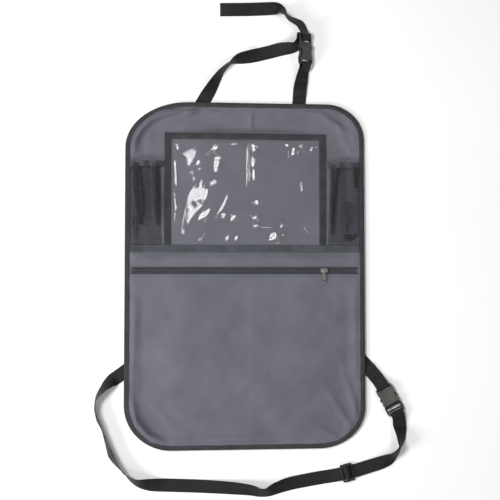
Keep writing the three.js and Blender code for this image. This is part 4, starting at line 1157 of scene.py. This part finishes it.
def zip_coils():
    """Both halves of the nylon coil. Each turn is a flattened loop of monofilament across the zip:
    across = middle + half width times cosine, height = middle + half height times a flattened sine,
    and the loop leans a little forward at its top."""
    for name, side in (("upper", 1), ("lower", -1)):
        start, end = zip_places(TAPE_END_INSET + 1, 2)
        count = int((end - start) / COIL_PITCH)
        middle = ZIP_Y + side * (COIL_SLIT + COIL_WIDTH) / 2
        turn = np.linspace(0, 2 * math.pi, 13)[:-1]
        half_width, half_height = COIL_WIDTH / 2 - COIL_WIRE, COIL_HEIGHT / 2 - COIL_WIRE
        centre_x = start + (np.arange(count) + (0.5 if side > 0 else 0)) * COIL_PITCH
        across = middle - side * half_width * np.cos(turn)
        squared = np.sign(np.sin(turn)) * np.abs(np.sin(turn)) ** COIL_SQUARENESS
        height = ZIP_TAPE_HEIGHT - GAP + COIL_HEIGHT / 2 + half_height * squared
        lean = 0.35 * np.sin(turn)
        ring = np.arange(6) * (math.pi / 3)
        radial = np.stack([0 * turn, -side * np.cos(turn), np.sin(turn)], -1)
        spine = np.stack([
            centre_x[:, None] + lean[None, :],
            np.broadcast_to(across, (count, 12)),
            np.broadcast_to(height, (count, 12)),
        ], -1)
        section = (
            np.cos(ring)[None, None, :, None] * radial[None, :, None, :]
            + np.sin(ring)[None, None, :, None] * np.array([1.0, 0, 0])
        ) * COIL_WIRE
        turns = spine[:, :, None, :] + section
        points, faces = skin(tapered(turns[..., 0], turns[..., 1], turns[..., 2]), closed=True)
        piece = mesh_object("zip_coil_" + name + "_turns", points, faces, COIL)
        settle(piece, "zip_coil", "zip_coil_" + name)


def zip_seams():
    """The rows of stitches that hold the zip to the pocket and to the facing."""
    paths = []
    for y in (POCKET_TOP_Y - 1.6, POCKET_TOP_Y - 4.4, FACING_FOOT_Y + 1.6):
        x = np.linspace(left_edge(y) + 17, right_edge(y) - 17, 200)
        paths.append(tapered(x, np.full_like(x, y), ZIP_SEAT + CLOTH_THICKNESS + 0.05))
    sewn("zip_seam_stitches", "pocket_cloth", paths, 2.8, 3.8, 0.26, 0.2)


# Straps


def through_points(points, steps):
    """A centripetal Catmull-Rom curve: in each span a cubic whose end slopes come from the
    neighbouring points, with spans timed by the root of their length. steps gives the places a span."""
    ends = np.concatenate([[2 * points[0] - points[1]], points, [2 * points[-1] - points[-2]]])
    made = []
    for k, count in enumerate(steps):
        p0, p1, p2, p3 = ends[k : k + 4]
        timing = [max(np.linalg.norm(b - a), 1e-8) ** 0.5 for a, b in ((p0, p1), (p1, p2), (p2, p3))]
        d0, d1, d2 = timing
        slope1 = ((p1 - p0) / d0 - (p2 - p0) / (d0 + d1) + (p2 - p1) / d1) * d1
        slope2 = ((p2 - p1) / d1 - (p3 - p1) / (d1 + d2) + (p3 - p2) / d2) * d1
        t = (np.arange(count) / count)[:, None]
        cubic = (2 * t**3 - 3 * t**2 + 1) * p1 + (t**3 - 2 * t**2 + t) * slope1
        made.append(cubic + (3 * t**2 - 2 * t**3) * p2 + (t**3 - t**2) * slope2)
    return np.concatenate([*made, points[-1:]])


def on_table(route, rise=0.0, spacing=4.0):
    """Places of a webbing that lies on the table along a route of x, y and roll in degrees.
    Its lower edge rests on the table: height = half the width times sine of the roll, plus half
    the thickness times cosine. Each row holds a position, the direction across and the way it runs."""
    points = np.array(route, float)
    spans = np.linalg.norm(np.diff(points[:, :2], axis=0), axis=1)
    steps = np.maximum(1, np.round(spans / spacing)).astype(int)
    line = through_points(points, steps)
    roll = [np.linspace(a, b, n, endpoint=False) for a, b, n in zip(points[:-1, 2], points[1:, 2], steps)]
    roll = np.radians(np.concatenate([*roll, points[-1:, 2]]))
    ahead = unit(np.gradient(line, axis=0) * (1, 1, 0))
    across = np.stack([-ahead[:, 1] * np.cos(roll), ahead[:, 0] * np.cos(roll), np.sin(roll)], -1)
    lean = np.abs(np.sin(roll)) * WEBBING_WIDTH / 2
    flat = np.abs(np.cos(roll)) * (WEBBING_THICKNESS / 2 + rise)
    return np.concatenate([line[:, :2], (lean + flat)[:, None], across, ahead], 1)


def fitting_frame(x, y, z, turn, roll=0.0):
    """Where a fitting lies: the middle of its mouth, its turn about the upright and its roll about
    its length."""
    a, b = math.radians(turn), math.radians(roll)
    about_z = np.array([[math.cos(a), -math.sin(a), 0], [math.sin(a), math.cos(a), 0], [0, 0, 1]])
    about_y = np.array([[math.cos(b), 0, math.sin(b)], [0, 1, 0], [-math.sin(b), 0, math.cos(b)]])
    return np.array([x, y, z], float), about_z @ about_y


def in_fitting(fitting, pairs, sign):
    """Places given in a fitting's own frame as y and z pairs, with the width along its bars."""
    middle, turned = fitting
    pairs = np.array(pairs, float)
    local = np.concatenate([np.zeros((len(pairs), 1)), pairs], 1)
    across = np.tile(turned @ np.array([sign, 0, 0]), (len(pairs), 1))
    points = local @ turned.T + middle
    return np.concatenate([points, across, heading(points)], 1)


def round_bar(y, z, radius, start, end, steps):
    """An arc of y and z pairs round a bar, from start to end in degrees, counted from y towards z."""
    angle = np.radians(np.linspace(start, end, steps + 1))
    return np.stack([y + radius * np.cos(angle), z + radius * np.sin(angle)], -1)


def heading(points):
    """The way a line of points runs at each point, from its two neighbours."""
    after = np.concatenate([points[1:], points[-1:]])
    before = np.concatenate([points[:1], points[:-1]])
    return unit(after - before)


def folded_back(places, distance):
    """The same webbing laid back over itself: the places in reverse, moved along their normals."""
    moved = places * np.repeat((1, 1, -1), 3)
    moved[:, :3] += np.cross(places[:, 6:], places[:, 3:6]) * distance
    return moved[::-1]


def webbing_ribbon(places, step=2.0):
    """Even places along the webbing, with the middle, the direction across and the normal at each."""
    steps = np.maximum(1, np.round(np.linalg.norm(np.diff(places[:, :3], axis=0), axis=1) / step)).astype(int)
    fine = through_points(places, steps)
    ahead = unit(fine[:, 6:])
    across = fine[:, 3:6]
    across = unit(across - ahead * np.einsum("ij,ij->i", across, ahead)[:, None])
    return fine[:, :3], across, np.cross(ahead, across)


def webbing_points(ribbon, u, v):
    """Points on the webbing: the middle + u half widths across + v half thicknesses along the normal."""
    middle, across, normal = ribbon
    return (
        middle[:, None, :]
        + across[:, None, :] * (np.asarray(u) * WEBBING_WIDTH / 2)[None, :, None]
        + normal[:, None, :] * (np.asarray(v) * WEBBING_THICKNESS / 2)[None, :, None]
    )


# Half of the webbing's section, as shares of its half width and half thickness: a thick woven edge
# and a face with four shallow lengthwise ridges
SECTION_ACROSS = (-1, -0.985, -0.94, -0.9, -0.68, -0.45, -0.22, 0, 0.22, 0.45, 0.68, 0.9, 0.94, 0.985, 1)
SECTION_RISE = (0.2, 0.75, 1.0, 0.86, 0.98, 0.86, 0.98, 0.86, 0.98, 0.86, 0.98, 0.86, 1.0, 0.75, 0.2)


def webbing(name, places, node):
    """A webbing strap over its places, with a rounded woven edge."""
    ribbon = webbing_ribbon(places)
    u = np.array(SECTION_ACROSS + SECTION_ACROSS[::-1], float)
    v = np.array(SECTION_RISE + tuple(-r for r in SECTION_RISE[::-1]), float)
    sections = webbing_points(ribbon, u, v)
    points, faces = skin(sections)
    piece = mesh_object(name, points, faces, WEBBING, along_uv(sections), sharp=60)
    settle(piece, "webbing", node)
    return ribbon


def sewn_rows(name, ribbon, rows, side):
    """Rows of stitches across a webbing, on the face that side names. Each row is at a distance from
    the webbing's start or, where that is negative, from its end."""
    travelled = lengths_along(ribbon[0])
    threads = []
    for where in rows:
        at = int(np.argmin(np.abs(travelled - (where if where >= 0 else travelled[-1] + where))))
        u = np.linspace(-0.86, 0.86, 12)
        one = [part[at : at + 1] for part in ribbon]
        path = webbing_points(one, u, np.full_like(u, side * 1.12))[0]
        up = np.tile(side * ribbon[2][at], (len(u), 1))
        threads.append(stitch_row(path, up, 2.4, 3.1, 0.3, 0.2))
    settle(mesh_object(name, *together(threads), DARK_THREAD), "webbing")


HEAD_ROLL = 50
HEAD_RISE = (
    BUCKLE_WIDTH / 2 * math.sin(math.radians(HEAD_ROLL))
    + BUCKLE_THICKNESS / 2 * math.cos(math.radians(HEAD_ROLL))
    + 0.5
)
HEAD_BUCKLE = fitting_frame(113.6, 433, HEAD_RISE, 0, HEAD_ROLL)
WAIST_BUCKLE = fitting_frame(276.7, -238.9, BUCKLE_THICKNESS / 2, 208.6)
ADJUSTER_RISE = PLY_STEP + WEBBING_THICKNESS + GAP + ADJUSTER_THICKNESS / 2
ADJUSTER = fitting_frame(193.1, -368.5, ADJUSTER_RISE, -75.4)

SOCKET_BAR = BAR_WIDTH / 2 - SOCKET_LENGTH
NEAR_BAR = FRAME_LENGTH - 1.5 * BAR_WIDTH - BAR_SLOT
END_BAR = FRAME_LENGTH - BAR_WIDTH / 2
ROUND_SOCKET_BAR = round_bar(SOCKET_BAR, 0, TURN_RADIUS, -90, 90, 6)
ROUND_NEAR_BAR = round_bar(NEAR_BAR, 0, TURN_RADIUS, 270, 90, 6)
OVER_END_BAR = round_bar(END_BAR, 0, TURN_RADIUS + GAP, 90, -20, 5)
ROUND_END_BAR = round_bar(END_BAR, 0, TURN_RADIUS, 90, 270, 6)


def head_strap_left():
    """From under the panel, on its edge at the neck, round the plug's bars, and a loose tail."""
    root = on_table([
        (-84.5, 317, 0), (-75, 333, 0), (-64, 350.5, 28), (-53, 369, 50), (-40, 388, 74), (-27, 399.5, 84),
        (-8, 408.5, 40), (10, 412.5, 18), (29, 417, 0), (48, 421.5, 0), (66, 426, 10), (82, 428, 30),
        (91.5, 429, 45), (99, 433, 50), (103, 438.5, 50),
    ])
    hairpin = [(14.5, -10.1), *round_bar(21, -8.2, 1.9, -90, 90, 4)]
    over = [*OVER_END_BAR, (END_BAR + 8, -4)]
    turn = in_fitting(HEAD_BUCKLE, np.concatenate([hairpin, ROUND_NEAR_BAR, over]), -1)
    tail = on_table([
        (108.5, 465.5, 50), (105, 472, 51), (97.5, 477, 55), (86, 482.5, 62), (77, 491, 75), (70, 499, 50),
        (56, 503, 12), (36, 502.5, 0), (5, 501.5, 0), (-46, 501, 0),
    ])
    ribbon = webbing(
        "head_webbing_left", np.concatenate([root, turn, tail]), "head_strap_left",
    )
    sewn_rows("head_tail_stitches", ribbon, (-4, -9), -1 if ribbon[2][-1][2] < 0 else 1)


def head_strap_right():
    """Up from the panel, round the socket's bar, and its end sewn back on itself."""
    route = on_table([(101, 308, 0), (102.6, 330, 0), (104, 352, 8), (107, 370, 26), (109.5, 384, 42)])
    turn = in_fitting(HEAD_BUCKLE, np.concatenate([[(-41, -3.9)], ROUND_SOCKET_BAR, [(-41, 3.2)]]), -1)
    back = folded_back(route[-14:], PLY_STEP)
    ribbon = webbing(
        "head_webbing_right", np.concatenate([route, turn, back]), "head_strap_right",
    )
    sewn_rows("head_end_stitches", ribbon, (-5, -9, -30, -34), -1 if ribbon[2][-8][2] < 0 else 1)


def waist_strap_left():
    """The long strap: from the panel's left edge round the foot to the adjuster and the plug, and back."""
    long = on_table([
        (-214, -170.5, 0), (-228, -181, 0), (-242, -191, 0), (-252, -197.5, 30), (-264, -209, 58),
        (-279, -231, 84), (-280.5, -251, 86), (-275, -270, 74), (-267, -289, 84), (-258, -315, 72),
        (-250, -337, 60), (-241, -352, 72), (-226, -369, 86), (-206, -385, 60), (-178, -391.5, 18),
        (-150, -392.5, 0), (-84, -394.5, 0), (-20, -398, 14), (10, -401, 30), (30, -405.5, 46),
        (42, -405, 46), (60, -397.5, 24), (85, -389.5, 6), (130, -380.5, 0), (166, -374.5, 0),
    ])
    under = PLY_STEP - ADJUSTER_RISE + WEBBING_THICKNESS / 2
    half = ADJUSTER_LENGTH / 2
    crest = ADJUSTER_TURN + PLY_STEP
    through = in_fitting(ADJUSTER, [
        (-half - 1, under), (-half + BAR_WIDTH + 0.6, under), (-2.6, crest), (2.6, crest),
        (half - BAR_WIDTH - 0.6, under), (half + 1, under),
    ], -1)
    loop = on_table([
        (212, -364, 0), (226, -359.5, 0), (250, -352, 6), (268, -345, 26), (282, -335, 62),
        (292, -321, 80), (294.5, -306, 56), (293.5, -291, 36), (291, -277, 8),
    ], PLY_STEP)
    turn = in_fitting(WAIST_BUCKLE, np.concatenate([[(25, 2.8)], ROUND_END_BAR, [(25, -3.4)]]), 1)
    back = folded_back(loop, -PLY_STEP)
    foot = [(half + 1, WEBBING_THICKNESS / 2 - ADJUSTER_RISE)]
    end = in_fitting(ADJUSTER, np.concatenate([foot, round_bar(0, 0, ADJUSTER_TURN, 270, 90, 6)]), -1)
    webbing(
        "waist_webbing_left", np.concatenate([long, through, loop, turn, back, end]), "waist_strap_left",
    )


def waist_strap_right():
    """A short strap round the socket's bar, its end sewn back on itself."""
    route = on_table([(217, -155, 0), (227.5, -166.5, 0), (241, -182, 0), (251, -194, 0)])
    turn = in_fitting(WAIST_BUCKLE, ROUND_SOCKET_BAR, -1)
    back = folded_back(route[-9:], PLY_STEP)
    ribbon = webbing(
        "waist_webbing_right", np.concatenate([route, turn, back]), "waist_strap_right",
    )
    sewn_rows("waist_end_stitches", ribbon, (-4, -8, -20), -1 if ribbon[2][-6][2] < 0 else 1)


# Buckles, adjuster and zip metal


# Each fitting with how it was made, its finish, its slot, the radius of its edges and its body
FITTINGS = (
    ("zip_slider", "_casting", NICKEL, "zip_metal", 0.15, "slider"),
    ("zip_pull", "_casting", NICKEL, "zip_metal", 0.2, "pull"),
    ("head_buckle_socket", "_moulding", BLACK_ACETAL, "buckle_plastic", 0.4, "organizer"),
    ("head_buckle_plug", "_moulding", BLACK_ACETAL, "buckle_plastic", 0.4, "organizer"),
    ("waist_buckle_socket", "_moulding", GREY_ACETAL, "buckle_plastic", 0.4, "organizer"),
    ("waist_buckle_plug", "_moulding", BLACK_ACETAL, "buckle_plastic", 0.4, "organizer"),
    ("strap_adjuster", "_moulding", BLACK_ACETAL, "buckle_plastic", 0.3, "organizer"),
)


def moulding(name, node, finish, slot, edge, body):
    """A copy of a CAD fitting, merged and with its flat faces joined, whose edges are rounded by a bevel."""
    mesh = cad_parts[node].data.copy()
    mesh.name = name
    shape = bmesh.new()
    shape.from_mesh(mesh)
    bmesh.ops.remove_doubles(shape, verts=shape.verts, dist=2e-6)
    bmesh.ops.dissolve_limit(shape, angle_limit=math.radians(1.5), verts=shape.verts, edges=shape.edges)
    shape.to_mesh(mesh)
    shape.free()
    if "custom_normal" in mesh.attributes:
        mesh.attributes.remove(mesh.attributes["custom_normal"])
    mesh.polygons.foreach_set("use_smooth", np.ones(len(mesh.polygons), bool))
    mesh.materials.clear()
    mesh.materials.append(finish)
    piece = bpy.data.objects.new(name, mesh)
    bpy.context.scene.collection.objects.link(piece)
    rounded = piece.modifiers.new("rounded_edges", "BEVEL")
    rounded.width = edge * MM
    rounded.segments = 3
    rounded.limit_method = "ANGLE"
    rounded.angle_limit = math.radians(24)
    rounded.use_clamp_overlap = True
    rounded.harden_normals = True
    return settle(piece, slot, node, body=body)


# Stage, lights and camera

PHOTO_SIDE = 0.94
PHOTO_MIDDLE = (0.0102, 0.0494)
LENS = 120
SENSOR = 36


def table_top():
    """A large pale plate that the organizer lies on."""
    finish, tree, shader = new_finish("pale_laminate", "#fcfcfb", 0.6, Specular_IOR_Level=0.2)
    place = place_of(tree)
    tree.links.new(clouded(tree, place, 0.4, "#fbfbfa", "#fefefd"), shader.inputs["Base Color"])
    side = np.array([-4000, 4000])
    x, y = np.meshgrid(side, side)
    top = np.stack([x, y, np.full(x.shape, -0.4)], -1).astype(float)
    points, faces = closed_sheet(top, 30)
    floor = mesh_object("table_top", points, faces, finish)


def softbox(name, place, size, power):
    """A square lamp that faces the middle of the organizer."""
    light = bpy.data.lights.new(name, "AREA")
    light.shape = "SQUARE"
    light.size = size
    light.energy = power
    lamp = bpy.data.objects.new(name, light)
    bpy.context.scene.collection.objects.link(lamp)
    lamp.location = place
    aim = np.array([*PHOTO_MIDDLE, 0.0]) - np.array(place)
    flat = math.hypot(aim[0], aim[1])
    lamp.rotation_euler = (math.atan2(flat, -aim[2]), 0, math.atan2(aim[1], aim[0]) - math.pi / 2)
    return lamp


def studio():
    """Five soft lamps, of which the key lamp shines in the film, and a pale room."""
    softbox("key_softbox", (-1.15, 0.35, 2.1), 0.62, 32)
    softbox("raking_softbox", (-2.1, -1.1, 1.3), 0.9, 44)
    softbox("side_softbox", (1.3, 0.4, 1.9), 0.45, 9)
    softbox("head_softbox", (-0.8, 1.1, 2.1), 0.4, 8)
    softbox("foot_softbox", (0.2, -1.7, 1.8), 0.5, 8)
    world = bpy.data.worlds.new("pale_room")
    world.use_nodes = True
    world.node_tree.nodes["Background"].inputs["Color"].default_value = (1, 1, 1, 1)
    world.node_tree.nodes["Background"].inputs["Strength"].default_value = 0.1
    bpy.context.scene.world = world
    bpy.context.scene.view_settings.view_transform = "Standard"


def camera():
    """Straight above the middle of the photograph's frame, as high as the lens needs to fill it."""
    data = bpy.data.cameras.new("camera")
    data.lens = LENS
    data.sensor_width = SENSOR
    data.clip_end = 50
    view = bpy.data.objects.new("camera", data)
    bpy.context.scene.collection.objects.link(view)
    view.location = (*PHOTO_MIDDLE, PHOTO_SIDE * LENS / SENSOR)
    bpy.context.scene.camera = view


camera()
studio()
table_top()

back_panel()
edge_binding()
large_pocket()
facing()
cross_binding()
side_binding("window_tape_left", WINDOW_LEFT, "window_binding_left")
side_binding("window_tape_right", WINDOW_RIGHT - WINDOW_BINDING_WIDTH, "window_binding_right")
window_film()
window_mouth()
net_pocket("net_pocket_left", -1, "mesh_pocket_left", "mesh_elastic_left", LEFT_FOLDS)
net_pocket("net_pocket_right", 1, "mesh_pocket_right", "mesh_elastic_right", RIGHT_FOLDS)
zip_tapes()
zip_coils()
zip_seams()
for fitting, process, finish, slot, edge, body in FITTINGS:
    moulding(fitting + process, fitting, finish, slot, edge, body)
head_strap_left()
head_strap_right()
waist_strap_left()
waist_strap_right()

bpy.context.view_layer.update()
